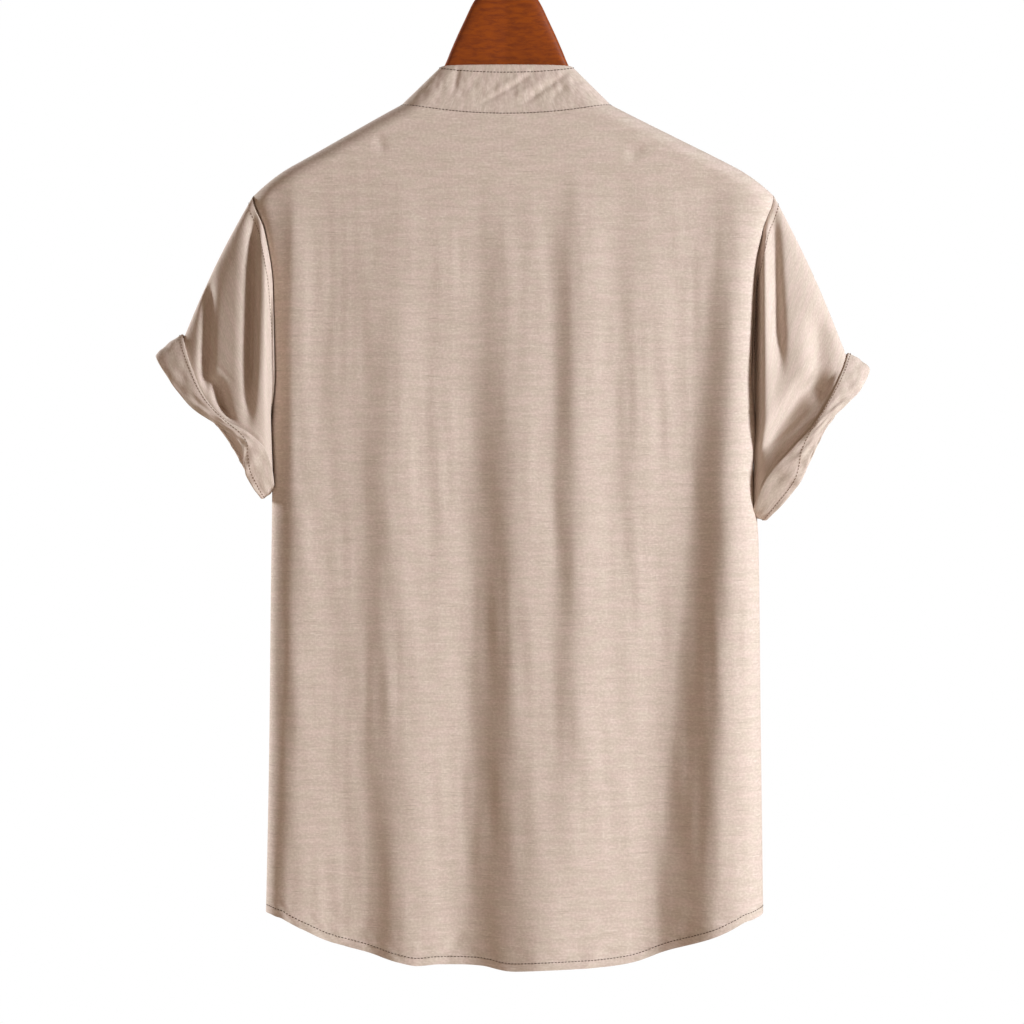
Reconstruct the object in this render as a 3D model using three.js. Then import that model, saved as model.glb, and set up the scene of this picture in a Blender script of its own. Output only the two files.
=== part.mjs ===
// A short-sleeved band collar shirt hanging from a wooden hanger.
// Millimetres. +Z is up, and the origin is where the hook bears on its rod.
// The back of the shirt faces -Y and the front +Y, so +X is the wearer's right.
import * as THREE from "three";

// Walls and seams.
const CLOTH_WALL = 1.3;
const COLLAR_WALL = 1.9;
const CUFF_WALL = 2.2;
const PLACKET_WALL = 2.0;
const SEAM_GAP = 0.4;

// Heights of the garment's landmarks below the rod.
const SIDE_NECK_Z = -167.6;
const BACK_NECK_DIP = 5.2;
const FRONT_NECK_DROP = 68;
const SHOULDER_TIP_Z = -245;
const UNDERARM_Z = -432;
const SIDE_HEM_Z = -857;
const BACK_HEM_Z = -913;
const FRONT_HEM_Z = -900;

// Widths and depths, each measured from the middle of the garment.
const NECK_HALF = 91.4;
const TIP_HALF = 224;
const SHOULDER_SLOPE = 0.53;
const TIP_ROLL_START = 190;
const TIP_ROLL_DROP = 7.2;
const SHOULDER_ROUND = 16;
const SIDE_ROUNDNESS = 9;
const ARMHOLE_DEPTH = 13;
const NECK_CURVE = 1.5;

// The side line and the depth of the body, from the neck down. Sway is how far the middle drifts to +X.
const BODY_SECTIONS = [
  { z: -134, half: 224, depth: 18, sway: -3 },
  { z: -168, half: 224, depth: 18, sway: -4.6 },
  { z: -197, half: 224, depth: 18, sway: -1.7 },
  { z: -214, half: 224, depth: 18, sway: 0.4 },
  { z: -245, half: 224, depth: 17, sway: 1.8 },
  { z: -275, half: 214, depth: 18, sway: 2.1 },
  { z: -323, half: 206.5, depth: 20, sway: 2.5 },
  { z: -400, half: 203, depth: 23, sway: 3 },
  { z: -484, half: 205.6, depth: 26, sway: 3 },
  { z: -545, half: 210, depth: 27, sway: 3 },
  { z: -720, half: 212, depth: 29, sway: 3 },
  { z: -930, half: 215.5, depth: 31, sway: 2.2 },
];

// The curved hem: the share of its rise that is reached at a share of the way to the side seam.
const HEM_SECTIONS = [
  { share: 0, rise: 0 },
  { share: 0.25, rise: 0.035 },
  { share: 0.5, rise: 0.16 },
  { share: 0.78, rise: 0.47 },
  { share: 0.94, rise: 0.78 },
  { share: 1, rise: 1 },
];

// Soft folds of the body: x at the fold's top and foot, the heights where it starts and is full,
// half its width, and how far it goes in (positive) or stands out (negative) at full height and at the hem.
const BACK_FOLDS = [
  { x: -124, footX: -122, start: -240, full: -440, half: 25, deep: 4.5, footDeep: 9 },
  { x: -92, footX: -84, start: -380, full: -520, half: 17, deep: -2, footDeep: -4 },
  { x: -24, footX: -32, start: -235, full: -420, half: 21, deep: 7, footDeep: 10 },
  { x: 14, footX: 24, start: -330, full: -480, half: 20, deep: -2.5, footDeep: -6 },
  { x: 38, footX: 42, start: -240, full: -360, half: 9, deep: 3.4, footDeep: 0 },
  { x: 64, footX: 66, start: -250, full: -420, half: 16, deep: -3, footDeep: 0 },
  { x: 100, footX: 88, start: -260, full: -360, half: 12, deep: 2, footDeep: 0 },
  { x: 160, footX: 126, start: -235, full: -470, half: 25, deep: 7, footDeep: 12 },
  { x: 187, footX: 184, start: -260, full: -420, half: 13, deep: -3, footDeep: -4 },
  { x: -187, footX: -192, start: -420, full: -560, half: 6, deep: 2.2, footDeep: 2.6 },
];
const FRONT_FOLDS = [
  { x: -158, footX: -150, start: -250, full: -480, half: 24, deep: 6, footDeep: 10 },
  { x: -112, footX: -104, start: -300, full: -500, half: 18, deep: -3, footDeep: -5 },
  { x: -66, footX: -62, start: -270, full: -450, half: 19, deep: 6, footDeep: 8 },
  { x: 62, footX: 70, start: -280, full: -430, half: 17, deep: 5, footDeep: 7 },
  { x: 98, footX: 104, start: -320, full: -500, half: 18, deep: -3, footDeep: -5 },
  { x: 140, footX: 150, start: -250, full: -460, half: 22, deep: 7, footDeep: 9 },
];

// Each sleeve's cuff, as the highest (tip) and lowest (base) points of its turned edge and its free edge.
const SLEEVES = [
  {
    name: "left",
    side: -1,
    hug: 4,
    turned: { tipX: -306, tipZ: -383, baseX: -214, baseZ: -507, depth: 46 },
    free: { tipX: -282, tipZ: -364.5, baseX: -204.8, baseZ: -485, depth: 47.5 },
    folds: [
      { x: -227, footX: -227, start: -268, full: -300, end: -462, half: 7, deep: 13 },
      { x: -212, footX: -211, start: -300, full: -350, end: -470, half: 8, deep: -7 },
      { x: -238, footX: -240, start: -262, full: -300, end: -440, half: 8, deep: -4 },
      { x: -250, footX: -251, start: -285, full: -330, end: -405, half: 8, deep: 6 },
      { x: -262, footX: -262, start: -335, full: -365, end: -400, half: 9, deep: 7 },
    ],
  },
  {
    name: "right",
    side: 1,
    hug: 10,
    turned: { tipX: 310, tipZ: -392.8, baseX: 221.5, baseZ: -524, depth: 46 },
    free: { tipX: 290, tipZ: -379.8, baseX: 212.8, baseZ: -510, depth: 47.5 },
    folds: [
      { x: 231, footX: 238, start: -255, full: -285, end: -440, half: 7, deep: 9 },
      { x: 223, footX: 226, start: -290, full: -340, end: -480, half: 7, deep: -6 },
      { x: 252, footX: 256, start: -280, full: -330, end: -430, half: 13, deep: -4 },
      { x: 286, footX: 246, start: -365, full: -395, end: -462, half: 11, deep: 8 },
    ],
  },
];
const CUFF_OPEN_TILT = 8;
const CUFF_SAG = 4;
const SLEEVE_BULGE = 3;
const SLEEVE_INSIDE_CUFF = 0.8;

// The placket and its buttons.
const PLACKET_HALF = 16;
const PLACKET_PROUD = 0.8;
const UNDERLAP = 14;
const UNDERLAP_SINK = 1.8;
const BUTTON_RADIUS = 5.5;
const BUTTON_THICK = 2.4;
const BUTTON_COUNT = 6;
const FIRST_BUTTON_Z = -290;
const BUTTON_PITCH = 90;

// The band collar's top edge.
const COLLAR_TOP_HALF = 57.5;
const COLLAR_TOP_Z = -134.2;
const COLLAR_FRONT_DROP = 65;
const COLLAR_BACK_LEAN = 4;
const COLLAR_SQUARENESS = 0.36;
const COLLAR_LAP = 0.274;
const COLLAR_LAP_SINK = 2.6;

// The hanger: the wood's upper and lower edge and half its thickness, from the middle to one end.
const HANGER_SECTIONS = [
  { x: 0, top: -62, foot: -152, half: 6 },
  { x: 12, top: -63.8, foot: -152.6, half: 6.6 },
  { x: 22, top: -69.5, foot: -154.6, half: 7 },
  { x: 29, top: -79, foot: -157, half: 7 },
  { x: 35.5, top: -92.5, foot: -160, half: 7 },
  { x: 42.6, top: -107.6, foot: -164, half: 7 },
  { x: 48, top: -120, foot: -167.6, half: 7 },
  { x: 53.5, top: -133, foot: -171.6, half: 7 },
  { x: 66, top: -149, foot: -181, half: 7 },
  { x: 80, top: -163.6, foot: -191.5, half: 7.2 },
  { x: 98, top: -173.7, foot: -205, half: 7.6 },
  { x: 120, top: -184.9, foot: -219, half: 8.4 },
  { x: 150, top: -200.8, foot: -235.5, half: 9.4 },
  { x: 180, top: -216.7, foot: -249.5, half: 10.4 },
  { x: 194, top: -224.6, foot: -254, half: 10.4 },
  { x: 201, top: -231, foot: -253, half: 8.4 },
  { x: 205, top: -238, foot: -248, half: 4 },
];
const HANGER_SQUARENESS = 2.8;
const HOOK_WIRE = 2;
const HOOK_INNER = 19;

// Grid sizes.
const NECK_COLUMNS = 12;
const SHOULDER_COLUMNS = 12;
const SHOULDER_DROPS = [0, 1.6, 6, 16];
const BODY_ROWS = 19;
const SLEEVE_ROUND = 44;
const SLEEVE_ROWS = 10;
const COLLAR_ROWS = 3;

const clamp01 = (t) => Math.min(1, Math.max(0, t));
const mix = (a, b, t) => a + (b - a) * t;

function smooth(from, to, value) {
  const t = clamp01((value - from) / (to - from));
  return t * t * (3 - 2 * t);
}

// The value of one column of a table of sections at a place along its key, by a monotone cubic.
function along(table, key, place, column) {
  const rising = table[1][key] > table[0][key] ? 1 : -1;
  const last = table.length - 1;
  let k = 0;
  while (k < last - 1 && rising * place > rising * table[k + 1][key]) k++;
  const slope = (i) => {
    if (i < 0 || i >= last) return null;
    return (table[i + 1][column] - table[i][column]) / (table[i + 1][key] - table[i][key]);
  };
  const tangent = (i) => {
    const before = slope(i - 1);
    const after = slope(i);
    if (before === null) return after;
    if (after === null) return before;
    return before * after <= 0 ? 0 : (2 * before * after) / (before + after);
  };
  const span = table[k + 1][key] - table[k][key];
  const t = clamp01((place - table[k][key]) / span);
  const start = table[k][column];
  const end = table[k + 1][column];
  return (
    start * (1 + 2 * t) * (1 - t) ** 2 +
    end * t * t * (3 - 2 * t) +
    span * (tangent(k) * t * (1 - t) ** 2 - tangent(k + 1) * t * t * (1 - t))
  );
}

const halfAt = (z) => along(BODY_SECTIONS, "z", z, "half");
const depthAt = (z) => along(BODY_SECTIONS, "z", z, "depth");
const swayAt = (z) => along(BODY_SECTIONS, "z", z, "sway");

// The line along the top of the shoulder, carried on inwards over the neck.
function ridgeZ(x) {
  const past = Math.abs(x) - NECK_HALF;
  const roll = clamp01((Math.abs(x) - TIP_ROLL_START) / (TIP_HALF - TIP_ROLL_START));
  return SIDE_NECK_Z - SHOULDER_SLOPE * past - TIP_ROLL_DROP * roll * roll;
}

// The top edge of a panel: the neck seam, then the shoulder seam.
function topZ(face, x) {
  const share = Math.abs(x) / NECK_HALF;
  if (share >= 1) return ridgeZ(x);
  if (face < 0) return SIDE_NECK_Z - BACK_NECK_DIP * (1 - share * share);
  return SIDE_NECK_Z - FRONT_NECK_DROP * (1 - share ** NECK_CURVE) ** (1 / NECK_CURVE);
}

// The curved shirt-tail hem, by the share of the way to the side seam.
function hemZ(face, share) {
  const middle = face < 0 ? BACK_HEM_Z : FRONT_HEM_Z;
  return mix(middle, SIDE_HEM_Z, along(HEM_SECTIONS, "share", Math.abs(share), "rise"));
}

// How far the armhole's edge stands off the garment's middle plane.
function armholeY(z) {
  const middle = (SHOULDER_TIP_Z + UNDERARM_Z) / 2;
  const reach = (SHOULDER_TIP_Z - UNDERARM_Z) / 2;
  const t = (z - middle) / reach;
  return Math.max(SEAM_GAP / 2, ARMHOLE_DEPTH * Math.sqrt(Math.max(0, 1 - t * t)));
}

// The outward direction of a wall that meets the armhole seam, in the seam's own plane.
function armholeNormal(y, z) {
  const middle = (SHOULDER_TIP_Z + UNDERARM_Z) / 2;
  const reach = (SHOULDER_TIP_Z - UNDERARM_Z) / 2;
  return new THREE.Vector3(0, y / ARMHOLE_DEPTH ** 2, (z - middle) / reach ** 2).normalize();
}

function foldIn(folds, x, z) {
  let sum = 0;
  for (const f of folds) {
    const down = clamp01((f.start - z) / (f.start - SIDE_HEM_Z));
    const low = clamp01((f.full - z) / (f.full - SIDE_HEM_Z));
    const middle = mix(f.x, f.footX, down);
    const depth = mix(f.deep, f.footDeep, low) * smooth(f.start, f.full, z);
    sum += depth * Math.exp(-(((x - middle) / f.half) ** 2));
  }
  return sum;
}

// A point of the body's outer face. Face is -1 on the back and 1 on the front, share is from side to side.
function bodyPoint(face, share, z) {
  const x = share * halfAt(z);
  const fall = clamp01((ridgeZ(x) - z) / SHOULDER_ROUND);
  const over = depthAt(z) * Math.sqrt(1 - (1 - fall) ** 2);
  const edge = armholeY(z);
  const across = Math.sqrt(Math.max(0, 1 - Math.abs(share) ** SIDE_ROUNDNESS));
  const sunk = foldIn(face < 0 ? BACK_FOLDS : FRONT_FOLDS, x, z) * across;
  const depth = Math.max(SEAM_GAP / 2, edge + (over - edge) * across - sunk);
  return new THREE.Vector3(x + swayAt(z), face * depth, z);
}

// How far out the neck seam is at an angle round the neck, 0 at the centre back and PI at the centre front.
function neckReach(angle) {
  const power = Math.cos(angle) > 0 ? 1 : 4 / 3;
  return Math.abs(Math.sin(angle)) ** power * NECK_HALF;
}

// The angles of the neck's columns from the middle of either face, closer together towards the side neck.
const NECK_TURNS = Array.from({ length: NECK_COLUMNS + 1 }, (_, i) => {
  return (Math.PI / 2) * (1 - (1 - i / NECK_COLUMNS) ** 1.5);
});

// The front's first column beside the middle, from which the overlapping pieces start.
const FIRST_COLUMN = neckReach(Math.PI - NECK_TURNS[1]);

// The shares of the width at which a panel's columns run, from one past the given start to the side.
function sharesToSide(face, start) {
  const shares = [start];
  for (const turn of NECK_TURNS.slice(0, NECK_COLUMNS)) {
    const share = neckReach(face < 0 ? turn : Math.PI - turn) / TIP_HALF;
    if (share > start + 0.002) shares.push(share);
  }
  for (let i = 0; i <= SHOULDER_COLUMNS; i++) {
    const t = i / SHOULDER_COLUMNS;
    shares.push(mix(NECK_HALF / TIP_HALF, 1, 1 - (1 - t) ** 1.6));
  }
  return shares;
}

// The height of a row that lies between a top and a foot, close together below the top.
function rowZ(top, foot, j) {
  if (j < SHOULDER_DROPS.length) return top - SHOULDER_DROPS[j];
  const first = SHOULDER_DROPS.length - 1;
  const t = (j - first) / (BODY_ROWS - first);
  return mix(top - SHOULDER_DROPS[first], foot, 0.6 * t + 0.4 * t * t);
}

// The outer points of a panel, a row for each height from the top seam to the hem.
function panelGrid(face, shares) {
  const grid = [];
  for (let j = 0; j <= BODY_ROWS; j++) {
    grid.push(
      shares.map((share) => {
        const z = rowZ(topZ(face, share * TIP_HALF), hemZ(face, share), j);
        return bodyPoint(face, share, z);
      }),
    );
  }
  return grid;
}

// Unit normals of a grid of points, turned so that the one in the grid's middle points along hint.
function gridNormals(grid, closed, hint) {
  const rows = grid.length;
  const columns = grid[0].length;
  const column = (i) => (closed ? (i + columns) % columns : Math.min(columns - 1, Math.max(0, i)));
  const row = (j) => Math.min(rows - 1, Math.max(0, j));
  const normals = grid.map((points, j) =>
    points.map((_, i) => {
      const across = grid[j][column(i + 1)].clone().sub(grid[j][column(i - 1)]);
      const down = grid[row(j + 1)][i].clone().sub(grid[row(j - 1)][i]);
      return across.cross(down).normalize();
    }),
  );
  const middle = normals[rows >> 1][columns >> 1];
  if (middle.dot(hint) < 0) normals.flat().forEach((n) => n.negate());
  return normals;
}

// A closed body from vertices and triangles, with its faces turned outwards.
function closedBody(vertices, triangles) {
  let volume = 0;
  for (const [a, b, c] of triangles) {
    volume += vertices[a].dot(vertices[b].clone().cross(vertices[c]));
  }
  const index = triangles.flatMap(([a, b, c]) => (volume < 0 ? [a, c, b] : [a, b, c]));
  const geometry = new THREE.BufferGeometry().setFromPoints(vertices);
  geometry.setIndex(index);
  geometry.computeVertexNormals();
  return geometry;
}

// A cloth wall: the outer grid, and the same grid moved inwards along the normals, joined round the edges.
function wall(grid, normals, thickness, closed = false) {
  const rows = grid.length;
  const columns = grid[0].length;
  const outer = grid.flat();
  const inner = grid.flatMap((points, j) =>
    points.map((p, i) => p.clone().addScaledVector(normals[j][i], -thickness)),
  );
  const at = (layer, j, i) => layer * outer.length + j * columns + (i % columns);
  const triangles = [];
  const quad = (a, b, c, d) => triangles.push([a, b, c], [a, c, d]);
  const spans = closed ? columns : columns - 1;
  for (let j = 0; j + 1 < rows; j++) {
    for (let i = 0; i < spans; i++) {
      quad(at(0, j, i), at(0, j, i + 1), at(0, j + 1, i + 1), at(0, j + 1, i));
      quad(at(1, j, i), at(1, j + 1, i), at(1, j + 1, i + 1), at(1, j, i + 1));
    }
  }
  for (let i = 0; i < spans; i++) {
    const foot = rows - 1;
    quad(at(0, 0, i), at(1, 0, i), at(1, 0, i + 1), at(0, 0, i + 1));
    quad(at(0, foot, i), at(0, foot, i + 1), at(1, foot, i + 1), at(1, foot, i));
  }
  if (!closed) {
    const end = columns - 1;
    for (let j = 0; j + 1 < rows; j++) {
      quad(at(0, j, 0), at(0, j + 1, 0), at(1, j + 1, 0), at(1, j, 0));
      quad(at(0, j, end), at(1, j, end), at(1, j + 1, end), at(0, j + 1, end));
    }
  }
  return closedBody([...outer, ...inner], triangles);
}

// A body panel's normals, squared up where it meets the shoulder, side and armhole seams.
function panelNormals(grid, shares, face) {
  const normals = gridNormals(grid, false, new THREE.Vector3(0, face, 0));
  const outwards = (share) => Math.sign(share);
  shares.forEach((share, i) => {
    if (Math.abs(share) * TIP_HALF < NECK_HALF - 1) return;
    normals[0][i] = new THREE.Vector3(SHOULDER_SLOPE * outwards(share), 0, 1).normalize();
  });
  for (const i of [0, shares.length - 1]) {
    if (Math.abs(shares[i]) < 1) continue;
    grid.forEach((points, j) => {
      const p = points[i];
      const side = new THREE.Vector3(outwards(shares[i]), 0, 0);
      const arm = armholeNormal(p.y, p.z);
      arm.z = Math.max(0, arm.z);
      const onArmhole = smooth(UNDERARM_Z, UNDERARM_Z + 15, p.z);
      normals[j][i] = side.multiplyScalar(1 - onArmhole).addScaledVector(arm, onArmhole).normalize();
    });
  }
  return normals;
}

function backPanel() {
  const half = sharesToSide(-1, 0);
  const shares = [...half.slice(1).reverse().map((s) => -s), ...half];
  const grid = panelGrid(-1, shares);
  return wall(grid, panelNormals(grid, shares, -1), CLOTH_WALL);
}

// The wearer's left front stops at the placket's edge.
function leftFront() {
  const shares = sharesToSide(1, (PLACKET_HALF + SEAM_GAP) / TIP_HALF).map((s) => -s);
  const grid = panelGrid(1, shares);
  return wall(grid, panelNormals(grid, shares, 1), CLOTH_WALL);
}

// The wearer's right front runs on under the placket.
function rightFront() {
  const shares = [-UNDERLAP / TIP_HALF, ...sharesToSide(1, -FIRST_COLUMN / TIP_HALF)];
  const grid = panelGrid(1, shares);
  for (const points of grid) {
    for (const p of points) {
      const covered = 1 - smooth(PLACKET_HALF + 7, PLACKET_HALF + 24, p.x - swayAt(p.z));
      p.y -= UNDERLAP_SINK * covered;
    }
  }
  return wall(grid, panelNormals(grid, shares, 1), CLOTH_WALL);
}

// A strip that lies on the fronts, made from their points moved out.
function placket() {
  const columns = [-PLACKET_HALF, -FIRST_COLUMN, 0, FIRST_COLUMN, PLACKET_HALF];
  const shares = columns.map((x) => x / TIP_HALF);
  const grid = panelGrid(1, shares);
  grid.flat().forEach((p) => (p.y += PLACKET_PROUD));
  return wall(grid, gridNormals(grid, false, new THREE.Vector3(0, 1, 0)), PLACKET_WALL);
}

// The neck seam at an angle round the neck: 0 at the centre back, PI at the centre front, x below 0 first.
function neckSeam(angle) {
  const face = Math.cos(angle) > 0 ? -1 : 1;
  const x = -Math.sign(Math.sin(angle)) * neckReach(angle);
  const p = bodyPoint(face, x / TIP_HALF, topZ(face, x));
  if (Math.abs(x) > NECK_HALF - 0.01) p.y = 0;
  return p;
}

// The collar's free top edge at the same angle.
function collarTop(angle) {
  const turn = Math.cos(angle);
  const x = swayAt(COLLAR_TOP_Z) - COLLAR_TOP_HALF * Math.sin(angle);
  if (turn > 0) {
    const back = depthAt(COLLAR_TOP_Z) - COLLAR_BACK_LEAN;
    return new THREE.Vector3(x, -back * turn ** COLLAR_SQUARENESS, COLLAR_TOP_Z);
  }
  const front = depthAt(COLLAR_TOP_Z) - 1;
  return new THREE.Vector3(x, front * (-turn) ** COLLAR_SQUARENESS, COLLAR_TOP_Z + COLLAR_FRONT_DROP * turn);
}

// A strip round the neck whose ends lap at the centre front, the wearer's left end on top.
function collarBand() {
  const front = NECK_TURNS.slice(0, NECK_COLUMNS).reverse().map((turn) => Math.PI - turn);
  const half = [...NECK_TURNS, ...front, Math.PI + NECK_TURNS[1], Math.PI + COLLAR_LAP];
  const angles = [...half.slice(1).reverse().map((angle) => -angle), ...half];
  const grid = [];
  for (let j = 0; j < COLLAR_ROWS; j++) {
    const up = 1 - j / (COLLAR_ROWS - 1);
    grid.push(
      angles.map((angle) => {
        const seam = neckSeam(angle);
        const rise = collarTop(angle).sub(seam);
        const p = seam.addScaledVector(rise, up);
        const lapped = smooth(-Math.PI + 2.2 * COLLAR_LAP, -Math.PI + COLLAR_LAP, angle);
        p.y -= COLLAR_LAP_SINK * lapped;
        if (j === COLLAR_ROWS - 1) p.addScaledVector(rise.normalize(), SEAM_GAP);
        return p;
      }),
    );
  }
  const normals = gridNormals(grid, false, new THREE.Vector3(0, -1, 0));
  normals[COLLAR_ROWS - 1].forEach((n, i) => {
    if (n.x * grid[COLLAR_ROWS - 1][i].x < 0) n.x = 0;
    n.setZ(0).normalize();
  });
  return wall(grid, normals, COLLAR_WALL);
}

// A point on one of a cuff's two rims. Angle 0 is its tip, and it turns towards the back first.
function rim(edge, angle, inset = 0) {
  const tip = new THREE.Vector3(edge.tipX, 0, edge.tipZ);
  const base = new THREE.Vector3(edge.baseX, 0, edge.baseZ);
  const half = tip.clone().sub(base).multiplyScalar(0.5);
  const length = half.length();
  const p = tip.add(base).multiplyScalar(0.5);
  p.addScaledVector(half, (Math.cos(angle) * (length - inset)) / length);
  p.y = -(edge.depth - inset) * Math.sin(angle);
  return p;
}

// The direction in which a sleeve leaves its cuff, square to the cuff's rim.
function cuffAxis(edge) {
  const along = new THREE.Vector3(edge.tipX - edge.baseX, 0, edge.tipZ - edge.baseZ).normalize();
  const axis = new THREE.Vector3(-along.z, 0, along.x);
  return axis.z > 0 ? axis.negate() : axis;
}

// A rim is drawn up the sleeve midway, and its low end hangs open: the front below the back,
// and the back drawn in over the body's side by the sleeve's hug.
function settleRim(p, sleeve, angle) {
  const low = (1 - Math.cos(angle)) / 2;
  const drop = CUFF_OPEN_TILT * Math.sin(angle) * low + CUFF_SAG * Math.sin(angle) ** 2;
  const backLow = angle > Math.PI / 2 && angle < Math.PI;
  if (backLow) p.x -= sleeve.side * sleeve.hug * Math.sin(2 * angle) ** 2;
  return p.addScaledVector(cuffAxis(sleeve.turned), -drop);
}

function cuff(sleeve) {
  const rows = 4;
  const grid = [];
  for (let j = 0; j < rows; j++) {
    const t = j / (rows - 1);
    const points = [];
    for (let i = 0; i < SLEEVE_ROUND; i++) {
      const angle = (2 * Math.PI * i) / SLEEVE_ROUND;
      const free = settleRim(rim(sleeve.free, angle), sleeve, angle);
      const turned = settleRim(rim(sleeve.turned, angle), sleeve, angle);
      points.push(free.lerp(turned, t));
    }
    grid.push(points);
  }
  const hint = rim(sleeve.free, Math.PI).sub(rim(sleeve.free, 0));
  return wall(grid, gridNormals(grid, true, hint), CUFF_WALL, true);
}

// Where the panels' straight edges put the body's side at a height.
function sideX(side, z) {
  const heightOf = (j) => rowZ(ridgeZ(TIP_HALF), SIDE_HEM_Z, j);
  let j = 0;
  while (z < heightOf(j + 1)) j++;
  const t = clamp01((z - heightOf(j)) / (heightOf(j + 1) - heightOf(j)));
  const edge = (row) => side * halfAt(heightOf(row)) + swayAt(heightOf(row));
  return mix(edge(j), edge(j + 1), t);
}

// A point of the armhole seam, outside the body's edge by the seam gap.
function armholePoint(side, angle) {
  const middle = (SHOULDER_TIP_Z + UNDERARM_Z) / 2;
  const reach = (SHOULDER_TIP_Z - UNDERARM_Z) / 2;
  const z = middle + reach * Math.cos(angle);
  return new THREE.Vector3(sideX(side, z) + side * SEAM_GAP, -ARMHOLE_DEPTH * Math.sin(angle), z);
}

function sleeveFoldIn(folds, x, z) {
  let sum = 0;
  for (const f of folds) {
    const middle = mix(f.x, f.footX, clamp01((f.start - z) / (f.start - f.end)));
    const depth = f.deep * smooth(f.start, f.full, z) * (1 - smooth(mix(f.full, f.end, 0.6), f.end, z));
    sum += depth * Math.exp(-(((x - middle) / f.half) ** 2));
  }
  return sum;
}

// A sleeve's outer face: from the armhole to the cuff's free edge, then on inside the cuff.
function sleevePoint(sleeve, angle, t) {
  const inset = CUFF_WALL + SEAM_GAP;
  const start = armholePoint(sleeve.side, angle);
  const free = settleRim(rim(sleeve.free, angle, inset + 1), sleeve, angle);
  const turned = settleRim(rim(sleeve.turned, angle, inset), sleeve, angle);
  if (t >= SLEEVE_INSIDE_CUFF) {
    return free.lerp(turned, (t - SLEEVE_INSIDE_CUFF) / (1 - SLEEVE_INSIDE_CUFF));
  }
  const share = t / SLEEVE_INSIDE_CUFF;
  const p = start.lerp(free, share);
  const bulge = SLEEVE_BULGE * Math.sin(Math.PI * share);
  p.x += sleeve.side * bulge * Math.max(0, Math.cos(angle));
  const ends = smooth(0, 0.12, share) * (1 - smooth(0.82, 1, share));
  const sunk = sleeveFoldIn(sleeve.folds, p.x, p.z) * Math.abs(Math.sin(angle)) * ends;
  p.y += Math.sign(Math.sin(angle)) * sunk;
  return p;
}

function sleeveTube(sleeve) {
  const grid = [];
  for (let j = 0; j <= SLEEVE_ROWS; j++) {
    const points = [];
    for (let i = 0; i < SLEEVE_ROUND; i++) {
      points.push(sleevePoint(sleeve, (2 * Math.PI * i) / SLEEVE_ROUND, j / SLEEVE_ROWS));
    }
    grid.push(points);
  }
  const normals = gridNormals(grid, true, new THREE.Vector3(0, 0, -1));
  normals[0] = grid[0].map((p) => armholeNormal(p.y, p.z));
  return wall(grid, normals, CLOTH_WALL, true);
}

// The wood is lofted through upright rounded sections from one end to the other.
function hangerWood() {
  const round = 12;
  const sections = [...HANGER_SECTIONS.slice(1).reverse().map((s) => ({ ...s, x: -s.x })), ...HANGER_SECTIONS];
  const vertices = [];
  for (const s of sections) {
    for (let i = 0; i < round; i++) {
      const a = (2 * Math.PI * i) / round;
      const bend = (v) => Math.sign(v) * Math.abs(v) ** (2 / HANGER_SQUARENESS);
      const z = (s.top + s.foot) / 2 + ((s.top - s.foot) / 2) * bend(Math.cos(a));
      vertices.push(new THREE.Vector3(s.x + swayAt(s.top), s.half * bend(Math.sin(a)), z));
    }
  }
  const triangles = [];
  for (let k = 0; k + 1 < sections.length; k++) {
    for (let i = 0; i < round; i++) {
      const [a, b] = [k * round + i, k * round + ((i + 1) % round)];
      triangles.push([a, b, b + round], [a, b + round, a + round]);
    }
  }
  const last = (sections.length - 1) * round;
  for (let i = 1; i + 1 < round; i++) {
    triangles.push([0, i + 1, i], [last, last + i, last + i + 1]);
  }
  return closedBody(vertices, triangles);
}

// The hook: up from the wood, a small bend aside, then round over the rod.
function hangerHook() {
  const radius = HOOK_INNER + HOOK_WIRE;
  const centreZ = -HOOK_INNER;
  const stemX = swayAt(HANGER_SECTIONS[0].top);
  const stemFoot = HANGER_SECTIONS[0].top + SEAM_GAP;
  const points = [
    new THREE.Vector3(stemX, 0, stemFoot),
    new THREE.Vector3(stemX, 0, stemFoot + 8),
    new THREE.Vector3(1.5, 0, centreZ - radius - 6),
  ];
  const turns = 14;
  for (let i = 0; i <= turns; i++) {
    const a = mix(-0.33 * Math.PI, 1.12 * Math.PI, i / turns);
    points.push(new THREE.Vector3(radius * Math.cos(a), 0, centreZ + radius * Math.sin(a)));
  }
  const section = new THREE.Shape().absarc(0, 0, HOOK_WIRE, 0, 2 * Math.PI);
  const extrudePath = new THREE.CatmullRomCurve3(points, false, "centripetal");
  return new THREE.ExtrudeGeometry(section, { steps: 34, curveSegments: 8, extrudePath });
}

// A small cup at the foot of the hook.
function ferrule() {
  const bore = HOOK_WIRE + SEAM_GAP;
  const profile = [
    [bore, 0],
    [6, 0],
    [6, 1.5],
    [4, 4],
    [bore, 4],
    [bore, 0],
  ].map(([r, y]) => new THREE.Vector2(r, y));
  const geometry = new THREE.LatheGeometry(profile, 16);
  geometry.rotateX(Math.PI / 2);
  return geometry.translate(swayAt(HANGER_SECTIONS[0].top), 0, HANGER_SECTIONS[0].top + SEAM_GAP);
}

// A button is a shallow dish with a raised rim, its back at y 0 and facing +Y.
function button() {
  const profile = [
    [0, 0],
    [BUTTON_RADIUS, 0.3],
    [BUTTON_RADIUS, BUTTON_THICK - 0.5],
    [BUTTON_RADIUS - 1, BUTTON_THICK],
    [0, BUTTON_THICK - 0.6],
  ].map(([r, y]) => new THREE.Vector2(r, y));
  return new THREE.LatheGeometry(profile, 14);
}

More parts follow.
